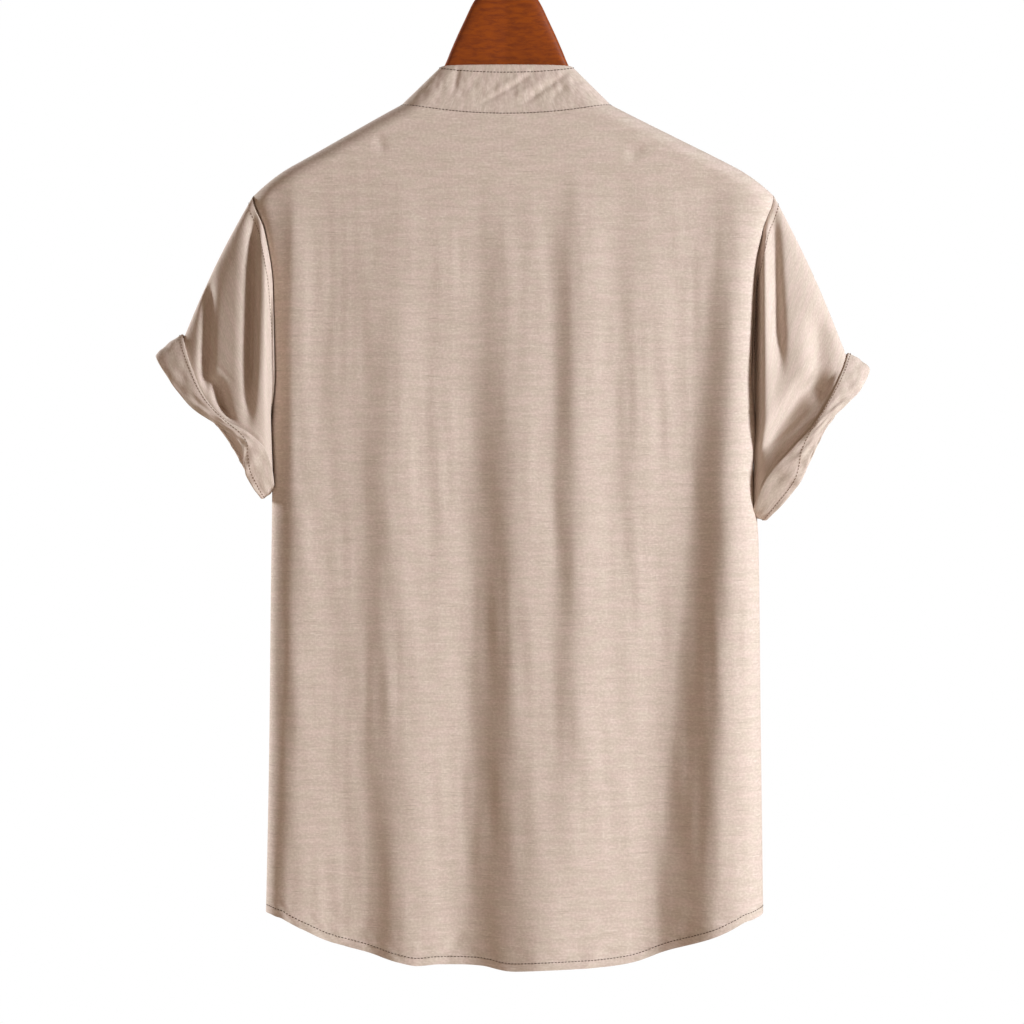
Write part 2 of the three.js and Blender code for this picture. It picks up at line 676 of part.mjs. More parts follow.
const srgb = (r, g, b) => new THREE.Color().setRGB(r / 255, g / 255, b / 255, THREE.SRGBColorSpace);
const linen = new THREE.MeshStandardMaterial({ color: srgb(203, 184, 171), roughness: 0.85, metalness: 0 });
const horn = new THREE.MeshStandardMaterial({ color: srgb(190, 170, 152), roughness: 0.35, metalness: 0 });
const wood = new THREE.MeshStandardMaterial({ color: srgb(135, 60, 22), roughness: 0.4, metalness: 0 });
const steel = new THREE.MeshStandardMaterial({ color: srgb(190, 190, 192), roughness: 0.25, metalness: 1 });

const shirtOnHanger = new THREE.Group();

function add(name, geometry, material) {
  const mesh = new THREE.Mesh(geometry, material);
  mesh.name = name;
  shirtOnHanger.add(mesh);
  return mesh;
}

add("back_panel", backPanel(), linen);
add("front_left", leftFront(), linen);
add("front_right", rightFront(), linen);
add("placket", placket(), linen);
add("collar_band", collarBand(), linen);
for (const sleeve of SLEEVES) {
  add("sleeve_" + sleeve.name, sleeveTube(sleeve), linen);
  add("cuff_" + sleeve.name, cuff(sleeve), linen);
}

for (let i = 0; i < BUTTON_COUNT; i++) {
  const z = FIRST_BUTTON_Z - i * BUTTON_PITCH;
  const mesh = add("button_" + (i + 1), button(), horn);
  const seat = bodyPoint(1, 0, z);
  mesh.position.set(seat.x, seat.y + PLACKET_PROUD + SEAM_GAP, z);
}

const collarButton = add("button_collar", button(), horn);
const collarFront = neckSeam(Math.PI).lerp(collarTop(Math.PI), 0.5);
collarButton.position.set(collarFront.x, collarFront.y + SEAM_GAP, collarFront.z);

add("hanger_wood", hangerWood(), wood);
add("hanger_hook", hangerHook(), steel);
add("hanger_ferrule", ferrule(), steel);

export default shirtOnHanger;
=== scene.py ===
"""A short-sleeved band collar shirt hanging from a wooden hanger, seen from its back.

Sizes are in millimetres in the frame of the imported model, and become metres when a mesh is made.
"""
import math

import bpy
import numpy as np
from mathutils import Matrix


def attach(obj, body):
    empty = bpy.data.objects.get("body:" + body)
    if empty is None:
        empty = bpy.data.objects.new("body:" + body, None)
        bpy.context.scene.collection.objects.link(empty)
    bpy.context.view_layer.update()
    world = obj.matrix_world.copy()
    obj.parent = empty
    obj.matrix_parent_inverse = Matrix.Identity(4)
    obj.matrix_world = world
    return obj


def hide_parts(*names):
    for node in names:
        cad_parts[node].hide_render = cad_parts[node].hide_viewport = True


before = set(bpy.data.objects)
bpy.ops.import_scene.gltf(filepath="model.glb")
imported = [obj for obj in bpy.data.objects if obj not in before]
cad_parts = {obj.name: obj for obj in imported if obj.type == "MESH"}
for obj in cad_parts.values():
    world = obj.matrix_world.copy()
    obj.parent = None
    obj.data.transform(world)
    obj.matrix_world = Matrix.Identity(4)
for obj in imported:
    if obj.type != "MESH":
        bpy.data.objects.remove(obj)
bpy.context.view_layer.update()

MM = 0.001


def table(columns, rows):
    """Rows of values under named columns."""
    return [dict(zip(columns.split(), row)) for row in rows]


# Walls, as thin as cloth.
CLOTH = 0.9
COLLAR_WALL = 1.9
CUFF_WALL = 2.0
PLACKET_WALL = 1.8
SEAM_GAP = 0.3

# Heights below the rod, and widths from the middle.
SIDE_NECK_Z = -167.6
BACK_NECK_DIP = 9.3
FRONT_NECK_DROP = 68
SHOULDER_TIP_Z = -245
UNDERARM_Z = -432
SIDE_HEM_Z = -857
BACK_HEM_Z = -913
FRONT_HEM_Z = -900
NECK_HALF = 91.4
TIP_HALF = 224
SHOULDER_SLOPE = 0.53
TIP_ROLL_START = 190
TIP_ROLL_DROP = 7.2
SHOULDER_ROUND = 16
SIDE_ROUNDNESS = 14
ARMHOLE_DEPTH = 8
NECK_CURVE = 1.5
HEM_DEEP = 7.5
HEM_STITCHES = 6.6
HEM_THICK = 0.35
HEM_GROOVE = 0.22

# Fields of small ripples: their height, the seed of their random draws, the waves in them, and how far they
# are drawn out along their second direction.
RIPPLES = {
    row["name"]: row
    for row in table("name height seed count shortest longest stretch", [
        ("back slack", 0.22, 11, 14, 22, 70, 2.4),
        ("back streaks", 0.17, 21, 22, 9, 20, 7),
        ("streak patches", 0.6, 22, 7, 70, 150, 1.4),
        ("front slack", 0.25, 12, 14, 22, 70, 2.4),
        ("back hem", 0.28, 3, 9, 7, 21, 3),
        ("front hem", 0.28, 4, 9, 7, 21, 3),
        ("collar", 0.3, 31, 18, 5, 18, 1.7),
        ("sleeve slack", 0.35, 41, 14, 16, 50, 2),
        ("cuff", 1, 51, 12, 10, 34, 1),
    ])
}

ARMHOLE_MIDDLE = (SHOULDER_TIP_Z + UNDERARM_Z) / 2
ARMHOLE_REACH = (SHOULDER_TIP_Z - UNDERARM_Z) / 2

# The heights of the body, and its half widths, half depths and drift towards +X there.
BODY_SECTIONS = table("z half depth sway", [
    (-134, 224, 18, -4.3), (-168, 224, 18, -4.6), (-197, 224, 18, -1.7),
    (-214, 224, 18, 0.4), (-245, 224, 17, 1.8), (-275, 214, 18, 2.1),
    (-323, 206.5, 20, 2), (-400, 205, 23, 1.5), (-448, 209, 25, 1.3),
    (-484, 207.5, 26, 1), (-545, 210, 27, 3), (-720, 212, 29, 3),
    (-930, 215.5, 31, 2.2),
])

HEM_SECTIONS = table("share rise", [
    (0, 0), (0.25, 0.035), (0.5, 0.16), (0.78, 0.47), (0.94, 0.78), (1, 1),
])

# How far the back's hem is drawn up, across the shirt.
HEM_LIFTS = table("x lift", [
    (-215, -5), (-206, 3), (-197, 7), (-180, 7.2), (-157, 5.2), (-128, 6), (-102, 4.3), (-86, 3.4),
    (-65, 6.4), (-29, 7.4), (-6, 5.2), (24, 6), (54, 5.2), (100, 2.6), (136, 6.9), (175, 7.6),
    (193, 7.2), (204, 3), (213, -4),
])

# Soft folds: x at the top and at the hem, the half widths towards -X and +X, and how far each goes in
# (positive) or stands out (negative) at the second to fifth height below. A lower sharpness makes a
# trough's bottom keener.
FOLD_COLUMNS = "x foot left right sharp deep"
FOLD_TOP_Z = -240
FOLD_HEIGHTS = (-215, -320, -480, -660, -870)
BACK_FOLDS = table(FOLD_COLUMNS, [
    (-130, -129, 42, 24, 1.8, (2.5, 5, 6.5, 10)),
    (-74, -80, 18, 14, 2, (1.5, 2.5, 1, 0)),
    (-32, -44, 36, 26, 1.8, (4, 9, 11, 12)),
    (2, 20, 30, 36, 2, (0, -3, -5, -8)),
    (37, 27, 26, 13, 1.8, (2.5, 4.2, 3.8, 0)),
    (52, 56, 12, 26, 2, (-2, -2.5, -2, 0)),
    (88, 84, 20, 14, 2, (1.5, 3, 2, 0)),
    (169, 119, 44, 25, 2, (4, 9, 11, 12)),
    (196, 174, 20, 55, 2.2, (-4, -7, -8, -9)),
    (118, 116, 20, 17, 2, (0, 0, 2, 1.5)),
    (-188, -190, 9, 18, 2, (-4, -3, -2.5, 1)),
    (-185, -155, 34, 30, 2, (4, 3, 2.5, 5)),
    (-20, -22, 12, 10, 2, (0, 0.3, 1.2, 0.8)),
    (4, 8, 7, 10, 2, (0.6, 0, 0.7, 0.5)),
    (-105, -118, 12, 12, 2, (0.3, -0.8, -1, 2)),
])
FRONT_FOLDS = table(FOLD_COLUMNS, [
    (-158, -150, 30, 20, 1.7, (2, 6, 8, 10)),
    (-112, -104, 18, 24, 1.7, (0, -3, -4, -5)),
    (-66, -62, 26, 15, 1.7, (2.5, 6, 7, 8)),
    (62, 70, 15, 24, 1.7, (2, 5, 6, 7)),
    (98, 104, 22, 18, 1.7, (0, -3, -4, -5)),
    (140, 150, 18, 28, 1.7, (3, 7, 8, 9)),
])

# Short soft creases in the cloth, as troughs along a line between two points of the back.
CREASE_COLUMNS = "x0 z0 x1 z1 half deep"
BACK_CREASES = table(CREASE_COLUMNS, [
    (-113, -199, -109, -207, 3.4, 1.5),
    (101, -213, 111, -205, 3.8, 1.8),
    (104, -204, 112, -200, 4, -0.9),
    (-150, -893, -128, -872, 6, 1.2),
    (-62, -905, -48, -880, 5, 1.2),
    (138, -898, 148, -868, 6, 1.1),
    (60, -906, 78, -878, 5, -0.8),
])
COLLAR_CREASES = table(CREASE_COLUMNS, [
    (-22, -166, 2, -152, 1.9, 1.63),
    (2, -152, 18, -142, 1.7, 1.52),
    (14, -165, 34, -151, 1.9, 1.84),
    (34, -151, 47, -142, 1.6, 1.43),
    (36, -162, 44, -154, 2.2, 1.22),
    (53, -149, 66, -147.5, 1.5, 1.22),
    (-46, -139, -49, -154, 2.3, 1.43),
    (6, -161, 26, -147, 3, -1.22),
    (-12, -158, 8, -144, 3, -0.82),
])

# A sleeve's folds start, are full and end at heights, and reach from x at the top to x at the foot.
SLEEVE_FOLD_COLUMNS = "x foot start full end left right deep"

# A cuff's free and turned edges, as (x, z) at every 30 degrees round it: from its highest point down the
# back half, which twists open towards the foot, and up the front half. A sleeve whose fill is low is full
# close to the armhole already.
SLEEVES = [
    dict(
        name="left", side=-1, fill=0.2, foot_fill=0.2,
        free=[
            (-283.3, -364.3), (-275.6, -388.4), (-261.8, -418.6), (-243.7, -438.5),
            (-223, -450.5), (-207.4, -467.8), (-203.1, -496.2), (-215.2, -481.6),
            (-231.6, -464.3), (-249.7, -438.5), (-266.1, -412.6), (-279, -382.4),
        ],
        turned=[
            (-306.6, -383.3), (-294.5, -403.1), (-272.1, -429.8), (-247.1, -446.2),
            (-230.7, -460.9), (-227.3, -485), (-216.1, -505.7), (-223.8, -498),
            (-235.9, -478.1), (-248, -458.3), (-263.5, -436.7), (-289.4, -408.3),
        ],
        folds=table(SLEEVE_FOLD_COLUMNS, [
            (-205, -205, -285, -315, -490, 2.5, 5, 12),
            (-207, -208, -262, -310, -470, 18, 3, -10),
            (-221, -223.5, -250, -290, -455, 5, 4.5, 11),
            (-235.5, -237, -262, -300, -440, 16, 6, -2),
            (-260, -261.5, -300, -335, -425, 5, 5, 12),
            (-256, -226, -398, -415, -500, 4, 6, 10),
        ]),
        creases=table(CREASE_COLUMNS, [
            (-262, -400, -246, -420, 1.5, 0.6),
            (-252, -392, -240, -404, 1.3, 0.5),
            (-256, -418, -238, -436, 1.8, 0.6),
        ]),
    ),
    dict(
        name="right", side=1, fill=0.55, foot_fill=0.3,
        free=[
            (289.4, -380.7), (281.6, -399.7), (269.5, -422.9), (255.7, -444.5),
            (235.9, -466.1), (216.9, -488.5), (205.7, -518.7), (216.1, -507.5),
            (231.6, -490.2), (248.8, -464.3), (264.4, -438.5), (279, -408.3),
        ],
        turned=[
            (308.3, -394.5), (300.6, -410.9), (285.1, -427.2), (269.5, -442.8),
            (256.6, -466.9), (245.4, -494.5), (220.4, -523.9), (234.2, -510.9),
            (249.7, -491.9), (262.6, -474.7), (273.8, -450.5), (292, -419.5),
        ],
        folds=table(SLEEVE_FOLD_COLUMNS, [
            (211.5, 208.5, -258, -275, -520, 3, 3, 14),
            (215, 213.5, -250, -275, -560, 3, 9, -6),
            (225.5, 230, -252, -280, -410, 7, 4.5, 7),
            (264, 263, -340, -368, -432, 9, 12, 8),
            (266, 186, -392, -415, -510, 9, 15, 13),
        ]),
        creases=table(CREASE_COLUMNS, [
            (222, -459, 250, -433, 1.8, 0.9),
            (234, -457, 256, -440, 1.6, 0.8),
            (262, -418, 284, -392, 1.6, 0.7),
            (258, -424, 276, -408, 1.4, 0.5),
        ]),
    ),
]
CUFF_BACK_DEPTH = 27
CUFF_SQUARENESS = 0.62
CUFF_FRONT_DEPTH = 45
CUFF_FOOT_BACK = 9
SLEEVE_BULGE = 3
SLEEVE_INSIDE_CUFF = 0.88
SLEEVE_TO_CUFF = 0.4
ARMHOLE_STITCH_ROW = 4
SLEEVE_AROUND = 390
SLEEVE_LONG = 210
CUFF_LONG = 30
CUFF_SWELL = 1.8
CUFF_EDGE = 0.05

PLACKET_HALF = 16
PLACKET_PROUD = 0.8
PLACKET_GROOVE = 0.3
PLACKET_GROOVE_AT = 0.86
UNDERLAP = 14
UNDERLAP_SINK = 1.8
BUTTON_RADIUS = 5.5
BUTTON_THICK = 2.4
BUTTON_COUNT = 6
FIRST_BUTTON_Z = -290
BUTTON_PITCH = 90

BUTTONHOLE_HALF = (1.1, 7.5)
HOLE_SPREAD = 1.25
HOLE_RADIUS = 0.62
LOOP_RADIUS = 0.38

COLLAR_TOP_HALF = 56
COLLAR_TOP_Z = -134.2
COLLAR_FRONT_DROP = 65
COLLAR_BACK_LEAN = 4
COLLAR_SQUARENESS = 0.36
COLLAR_LAP = 0.274
COLLAR_LAP_SINK = 2.6
COLLAR_OVERLAP = 0.5
COLLAR_UP = 38
COLLAR_EDGE = 0.04
COLLAR_GROOVE = 0.14
COLLAR_GROOVES_AT = (0.04, 0.93)
COLLAR_SEAM_STITCHES = 0.014
COLLAR_TOP_STITCHES = 0.965

HANGER_SECTIONS = table("x top foot half", [
    (0, -62, -152, 6), (12, -63.8, -152.6, 6.6), (22, -69.5, -154.6, 7),
    (29, -79, -157, 7), (35.5, -92.5, -160, 7), (42.6, -107.6, -164, 7),
    (48, -120, -167.6, 7), (53.5, -133, -171.6, 7), (66, -149, -181, 7),
    (80, -163.6, -191.5, 7.2), (98, -173.7, -205, 7.6), (120, -184.9, -219, 8.4),
    (150, -200.8, -235.5, 9.4), (180, -216.7, -249.5, 10.4), (194, -224.6, -254, 10.4),
    (201, -231, -253, 8.4), (205, -238, -248, 4),
])
HANGER_SQUARENESS = 2.8
HOOK_WIRE = 2
HOOK_INNER = 19
FERRULE_LOW = [(5.6, 0), (6, 0.4), (6, 1.2), (5.6, 1.7), (4.6, 2.2), (4.1, 3.2), (3.8, 3.8), (3.4, 4)]

# The photo's frame: the middle of the picture and its width where the shirt hangs.
VIEW_CENTRE = (0.4, -517.8)
VIEW_WIDTH = 883.2
LENS = 85
SENSOR = 36
FLOOR_Z = -1500
FLOOR_REACH = 2400

# Lights are in metres and watts. The back has a key and a fill, and the front the same ones.
COOL_KEY = (0.905, 0.947, 1)
WARM_SHADE = (1, 0.7, 0.5)
ROOM_STRENGTH = 0.2
LIT_MIDDLE = (0, 0, -0.5)
LIGHTS = table("name place size power colour", [
    ("key", (2.5, -1.35, 0.25), 0.7, 110, COOL_KEY),
    ("fill", (-1.6, -2.6, 0.1), 1.6, 4.8, WARM_SHADE),
    ("key_front", (-2.5, 1.35, 0.25), 0.7, 110, COOL_KEY),
    ("fill_front", (1.6, 2.6, 0.1), 1.6, 4.8, WARM_SHADE),
])

# The dark and the light colour of each thing, as a screen's red, green and blue from 0 to 255.
COLOURS = {
    "slub": ((180, 165, 151), (225, 213, 202)),
    "brown thread": ((50, 36, 30), (92, 68, 54)),
    "beige thread": ((122, 101, 86), (152, 130, 114)),
    "wood": ((120, 50, 8), (152, 72, 14)),
    "steel": ((196, 196, 198), (222, 222, 224)),
    "horn": ((150, 122, 98), (206, 184, 160)),
}
LINEN_WARM = (211, 193, 183)
LINEN_COOL = (205, 193, 178)
FLOOR_COLOUR = (0.7, 0.62, 0.54, 1)

# Rows and columns of the meshes, and the sides of round things.
ROLL_ROWS = 12
PANEL_ROWS = 190
BACK_COLUMNS = 92
LEFT_COLUMNS = 80
RIGHT_COLUMNS = 88
PLACKET_COLUMNS = 25
COLLAR_COLUMNS = 260
COLLAR_ROWS = 22
SLEEVE_SIDES = 220
SLEEVE_HEAD_ROWS = 8
SLEEVE_ROWS = 74
CUFF_ROWS = 20
TURNED_SIDES = 40
PIN_SIDES = 12
LOOP_SIDES = 7
WOOD_SIDES = 48
HOOK_SIDES = 16

# Stitches are about 9 to the inch: dark ones, and ones of nearly the cloth's colour on the sleeves.
STITCH_PITCH = 2.9
STITCH_LENGTH = 2.1
STITCH_RADIUS = 0.36
STITCH_SIDES = 5
STITCH_STATIONS = [(-0.5, 0.35), (-0.3, 1), (0.3, 1), (0.5, 0.35)]
BUTTONHOLE_STITCH = dict(pitch=0.75, length=1.5, radius=0.2)
# The share of a panel's width where its hem's stitches start and end, and the points read off there.
HEM_SPANS = {
    "back": (-0.995, 0.995, 500),
    "left_front": (-0.995, -0.09, 260),
    "right_front": (0.2, 0.995, 230),
}


def mix(a, b, t):
    return a + (b - a) * t


def smooth(start, end, value):
    t = np.clip((value - start) / (end - start), 0, 1)
    return t * t * (3 - 2 * t)


def along(sections, key, place, name):
    """One column of a table at places along its key, by a monotone cubic."""
    rows = sorted(sections, key=lambda row: row[key])
    keys = np.array([row[key] for row in rows], float)
    values = np.array([row[name] for row in rows], float)
    span = np.diff(keys)
    slope = np.diff(values) / span
    tangent = np.zeros_like(values)
    tangent[0], tangent[-1] = slope[0], slope[-1]
    product, total = slope[:-1] * slope[1:], slope[:-1] + slope[1:]
    rising = product > 0
    tangent[1:-1][rising] = 2 * product[rising] / total[rising]
    place = np.clip(place, keys[0], keys[-1])
    k = np.clip(np.searchsorted(keys, place, side="right") - 1, 0, len(span) - 1)
    t = (place - keys[k]) / span[k]
    return (
        values[k] * (1 + 2 * t) * (1 - t) ** 2
        + values[k + 1] * t * t * (3 - 2 * t)
        + span[k] * (tangent[k] * t * (1 - t) ** 2 - tangent[k + 1] * t * t * (1 - t))
    )


def ring_angles(count):
    return np.linspace(0, 2 * math.pi, count, endpoint=False)


def half_at(z):
    return along(BODY_SECTIONS, "z", z, "half")


def depth_at(z):
    return along(BODY_SECTIONS, "z", z, "depth")


def sway_at(z):
    return along(BODY_SECTIONS, "z", z, "sway")


def ripples(name, u, v):
    """A smooth field from waves in random directions, drawn out along v."""
    kind = RIPPLES[name]
    draw = np.random.default_rng(kind["seed"])
    total = 0
    for _ in range(kind["count"]):
        length = kind["shortest"] * (kind["longest"] / kind["shortest"]) ** draw.random()
        angle = draw.uniform(0, math.pi)
        phase = draw.uniform(0, 2 * math.pi)
        along_wave = u * math.cos(angle) + v * math.sin(angle) / kind["stretch"]
        total = total + np.sin(along_wave * 2 * math.pi / length + phase)
    return kind["height"] * total / math.sqrt(kind["count"])


def creases(rows, x, z):
    """How far short creases go in. Each fades out towards its two ends."""
    total = np.zeros(np.broadcast(x, z).shape)
    for c in rows:
        run = np.array([c["x1"] - c["x0"], c["z1"] - c["z0"]])
        length = np.hypot(*run)
        t = ((x - c["x0"]) * run[0] + (z - c["z0"]) * run[1]) / length**2
        off = ((x - c["x0"]) * run[1] - (z - c["z0"]) * run[0]) / length
        near = np.exp(-((off / c["half"]) ** 2) - (1.6 * (t - 0.5)) ** 4)
        total += c["deep"] * near
    return total


# The body's surface.


def ridge_z(x):
    roll = np.clip((np.abs(x) - TIP_ROLL_START) / (TIP_HALF - TIP_ROLL_START), 0, 1)
    return SIDE_NECK_Z - SHOULDER_SLOPE * (np.abs(x) - NECK_HALF) - TIP_ROLL_DROP * roll**2


def top_z(face, x):
    share = np.clip(np.abs(x) / NECK_HALF, 0, 1)
    if face < 0:
        neck = SIDE_NECK_Z - BACK_NECK_DIP * (1 - share**2)
    else:
        neck = SIDE_NECK_Z - FRONT_NECK_DROP * (1 - share**NECK_CURVE) ** (1 / NECK_CURVE)
    return np.where(share >= 1, ridge_z(x), neck)


def hem_z(face, share):
    middle = BACK_HEM_Z if face < 0 else FRONT_HEM_Z
    level = mix(middle, SIDE_HEM_Z, along(HEM_SECTIONS, "share", np.abs(share), "rise"))
    if face < 0:
        level = level + along(HEM_LIFTS, "x", share * half_at(level), "lift")
    return level


def armhole_y(z):
    inside = np.maximum(0, 1 - ((z - ARMHOLE_MIDDLE) / ARMHOLE_REACH) ** 2)
    return np.maximum(SEAM_GAP / 2, ARMHOLE_DEPTH * np.sqrt(inside))


def bell(offset, left, right, sharp=2.0):
    return np.exp(-(np.abs(offset / np.where(offset < 0, left, right)) ** sharp))


def fold_in(folds, x, z):
    total = np.zeros(np.broadcast(x, z).shape)
    down = np.clip((FOLD_TOP_Z - z) / (FOLD_TOP_Z - SIDE_HEM_Z), 0, 1)
    for f in folds:
        depths = table("z deep", zip(FOLD_HEIGHTS, (0, *f["deep"])))
        offset = x - mix(f["x"], f["foot"], down)
        total += along(depths, "z", z, "deep") * bell(offset, f["left"], f["right"], f["sharp"])
    return total


def back_relief(x, z, above_hem):
    """Small forms of the back, outwards: slack, streaks, creases and hem."""
    slack = ripples("back slack", x, z) * smooth(-180, -300, z)
    streaks = ripples("back streaks", x, z) * smooth(-190, -300, z)
    slack = slack + streaks * np.clip(0.7 + ripples("streak patches", x, z), 0.1, 1.6)
    return slack - creases(BACK_CREASES, x, z) + hem_relief("back hem", x, above_hem)


def front_relief(x, z, above_hem):
    slack = ripples("front slack", x, z) * smooth(-220, -300, z)
    return slack + hem_relief("front hem", x, above_hem)


def hem_relief(name, x, above_hem):
    """The hem is thicker, drawn in along its stitches, with slanting puckers above and below."""
    thick = HEM_THICK * (1 - smooth(HEM_DEEP - 0.6, HEM_DEEP + 0.8, above_hem))
    groove = HEM_GROOVE * np.exp(-(((above_hem - HEM_STITCHES) / 0.8) ** 2))
    pucker = ripples(name, x + 0.7 * above_hem, above_hem) * np.exp(-((above_hem - 6) / 13) ** 2)
    return thick - groove + pucker


def body_surface(face, share, z, detail=True):
    """Points of the body's outer face. Face is -1 on the back, and share runs from side to side."""
    x = share * half_at(z)
    fall = np.clip((ridge_z(x) - z) / SHOULDER_ROUND, 0, 1)
    over = depth_at(z) * np.sqrt(1 - (1 - fall) ** 2)
    edge = armhole_y(z)
    across = np.sqrt(np.maximum(0, 1 - np.abs(share) ** SIDE_ROUNDNESS))
    depth = edge + (over - edge) * across
    depth = depth - fold_in(BACK_FOLDS if face < 0 else FRONT_FOLDS, x, z) * across
    if detail:
        relief = (back_relief if face < 0 else front_relief)(x, z, z - hem_z(face, share))
        depth = depth + relief * across * smooth(0, 0.6, fall)
    depth = np.maximum(SEAM_GAP / 2, depth)
    return np.stack([x + sway_at(z), face * depth, z + 0 * x], axis=-1)


def panel_rows(top, foot):
    """Heights of a panel's rows: round over the shoulder, then down to the hem, closer together there."""
    turn = np.linspace(0, math.pi / 2, ROLL_ROWS)
    drop = SHOULDER_ROUND * (1 - np.cos(turn))
    down = 1 - (1 - np.linspace(0, 1, PANEL_ROWS)[1:]) ** 1.15
    return np.concatenate([top - drop[:, None], mix(top - SHOULDER_ROUND, foot, down[:, None])])


def panel_grid(face, shares):
    z = panel_rows(top_z(face, shares * TIP_HALF), hem_z(face, shares))
    return body_surface(face, shares[None, :] + 0 * z, z)


def shares_to_side(start, columns):
    """Shares of the width from a start to the side, closer together towards the side."""
    t = np.linspace(0, 1, columns)
    return mix(start, 1, 1 - (1 - t) ** 1.35)


# Meshes.


def grid_normals(grid, closed, face):
    """Unit normals of a grid, and whether they had to be turned round to point to the face's side."""
    if closed:
        across = np.roll(grid, -1, axis=1) - np.roll(grid, 1, axis=1)
    else:
        across = np.gradient(grid, axis=1)
    down = np.gradient(grid, axis=0)
    normals = np.cross(across, down)
    normals /= np.maximum(1e-9, np.linalg.norm(normals, axis=-1, keepdims=True))
    column = grid.shape[1] * 3 // 4 if closed else grid.shape[1] // 2
    middle = normals[len(grid) // 2, column]
    turned = middle[1] * face < 0
    return (-normals if turned else normals), turned


def make_object(name, vertices, faces, corners_uv, material, sharp=50):
    mesh = bpy.data.meshes.new(name)
    mesh.from_pydata((vertices * MM).tolist(), [], faces.tolist() if hasattr(faces, "tolist") else faces)
    if corners_uv is not None:
        layer = mesh.uv_layers.new(name="grain")
        layer.data.foreach_set("uv", (corners_uv * MM).ravel())
    mesh.polygons.foreach_set("use_smooth", [True] * len(mesh.polygons))
    mesh.set_sharp_from_angle(angle=math.radians(sharp))
    mesh.materials.append(material)
    piece = bpy.data.objects.new(name, mesh)
    bpy.context.scene.collection.objects.link(piece)
    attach(piece, "root")
    return piece


def close_round(grid):
    """A grid with its first column once more after its last."""
    return np.concatenate([grid, grid[:, :1]], axis=1)


def quads(at):
    """The faces of a grid of vertex numbers."""
    return np.stack([at[:-1, :-1], at[:-1, 1:], at[1:, 1:], at[1:, :-1]], axis=-1).reshape(-1, 4)


def wall_faces(outer, inner, closed):
    """The faces of both sides of a wall and of its edges, from the vertex numbers of its two grids."""
    edges = [(inner[0], outer[0]), (outer[-1], inner[-1])]
    if not closed:
        edges += [(outer[:, 0], inner[:, 0]), (inner[:, -1], outer[:, -1])]
    sides = [quads(outer), quads(inner)[:, [0, 3, 2, 1]]]
    return np.concatenate(sides + [quads(np.stack(edge)) for edge in edges])


def shell(name, grid, thickness, uv, face=1, closed=False, fullness=None):
    """A closed wall of linen: outer points, and the same ones moved in. Fullness thins its edges."""
    normals, turned = grid_normals(grid, closed, face)
    middle = grid - normals * thickness / 2
    half = thickness / 2 * (1 if fullness is None else fullness[..., None]) * normals
    vertices = np.concatenate([(middle + half).reshape(-1, 3), (middle - half).reshape(-1, 3)])
    count = grid.shape[0] * grid.shape[1]
    outer = np.arange(count).reshape(grid.shape[:2])
    if closed:
        outer = close_round(outer)
    faces = wall_faces(outer, outer + count, closed)
    at = np.arange(uv.size // 2).reshape(uv.shape[:2])
    corners = wall_faces(at, at, closed)
    if turned:
        faces, corners = faces[:, ::-1], corners[:, ::-1]
    return make_object(name, vertices, faces, uv.reshape(-1, 2)[corners.reshape(-1)], LINEN)


def tube_faces(count, sides, start=0, capped=True):
    """The faces of a tube through a number of rings of vertices, with flat ends."""
    at = np.arange(count * sides).reshape(count, sides) + start
    faces = quads(close_round(at)).tolist()
    if capped:
        faces += [at[0, ::-1].tolist(), at[-1].tolist()]
    return faces


def join_tubes(tubes):
    """The vertices and faces of several tubes as one mesh."""
    vertices, faces, start = [], [], 0
    for rings in tubes:
        count, sides = rings.shape[:2]
        faces += tube_faces(count, sides, start)
        vertices.append(rings.reshape(-1, 3))
        start += count * sides
    return np.concatenate(vertices), faces


def loft(name, rings, material, capped=True):
    """A solid through rings of points, each ring closed, with flat ends."""
    count, sides = rings.shape[:2]
    uv = ring_uv(rings)
    at = np.arange(uv.size // 2).reshape(uv.shape[:2])
    corners = quads(at).reshape(-1).tolist()
    if capped:
        corners += at[0, :sides][::-1].tolist() + at[-1, :sides].tolist()
    faces = tube_faces(count, sides, capped=capped)
    return make_object(name, rings.reshape(-1, 3), faces, uv.reshape(-1, 2)[corners], material, sharp=40)


def tube_rings(path, radius, sides):
    """Rings of a round tube along a path, carried along it without twist."""
    path = np.asarray(path, float)
    heading = np.gradient(path, axis=0)
    heading /= np.linalg.norm(heading, axis=1, keepdims=True)
    side = np.cross(heading[0], [0, 1, 0] if abs(heading[0][1]) < 0.9 else [1, 0, 0])
    turn = ring_angles(sides)
    rings = []
    for point, ahead in zip(path, heading):
        side = side - ahead * (side @ ahead)
        side /= np.linalg.norm(side)
        up = np.cross(ahead, side)
        rings.append(point + radius * (np.cos(turn)[:, None] * side + np.sin(turn)[:, None] * up))
    return np.array(rings)


def ring_uv(rings):
    """Lengths round and along a set of rings, for the grain of their material."""
    around = np.cumsum(np.linalg.norm(np.diff(close_round(rings), axis=1), axis=-1), axis=1)
    around = np.concatenate([0 * around[:, :1], around], axis=1)
    length = np.cumsum(np.linalg.norm(np.diff(rings.mean(axis=1), axis=0), axis=-1))
    length = np.concatenate([[0], length])
    return np.stack([length[:, None] + 0 * around, around], axis=-1)


def resample(path, normals, spacing):
    """Points at an even spacing along a path, and the normals there."""
    steps = np.linalg.norm(np.diff(path, axis=0), axis=1)
    walked = np.concatenate([[0], np.cumsum(steps)])
    places = np.arange(spacing / 2, walked[-1], spacing)
    return [np.stack([np.interp(places, walked, v[:, k]) for k in range(3)], axis=1) for v in (path, normals)]


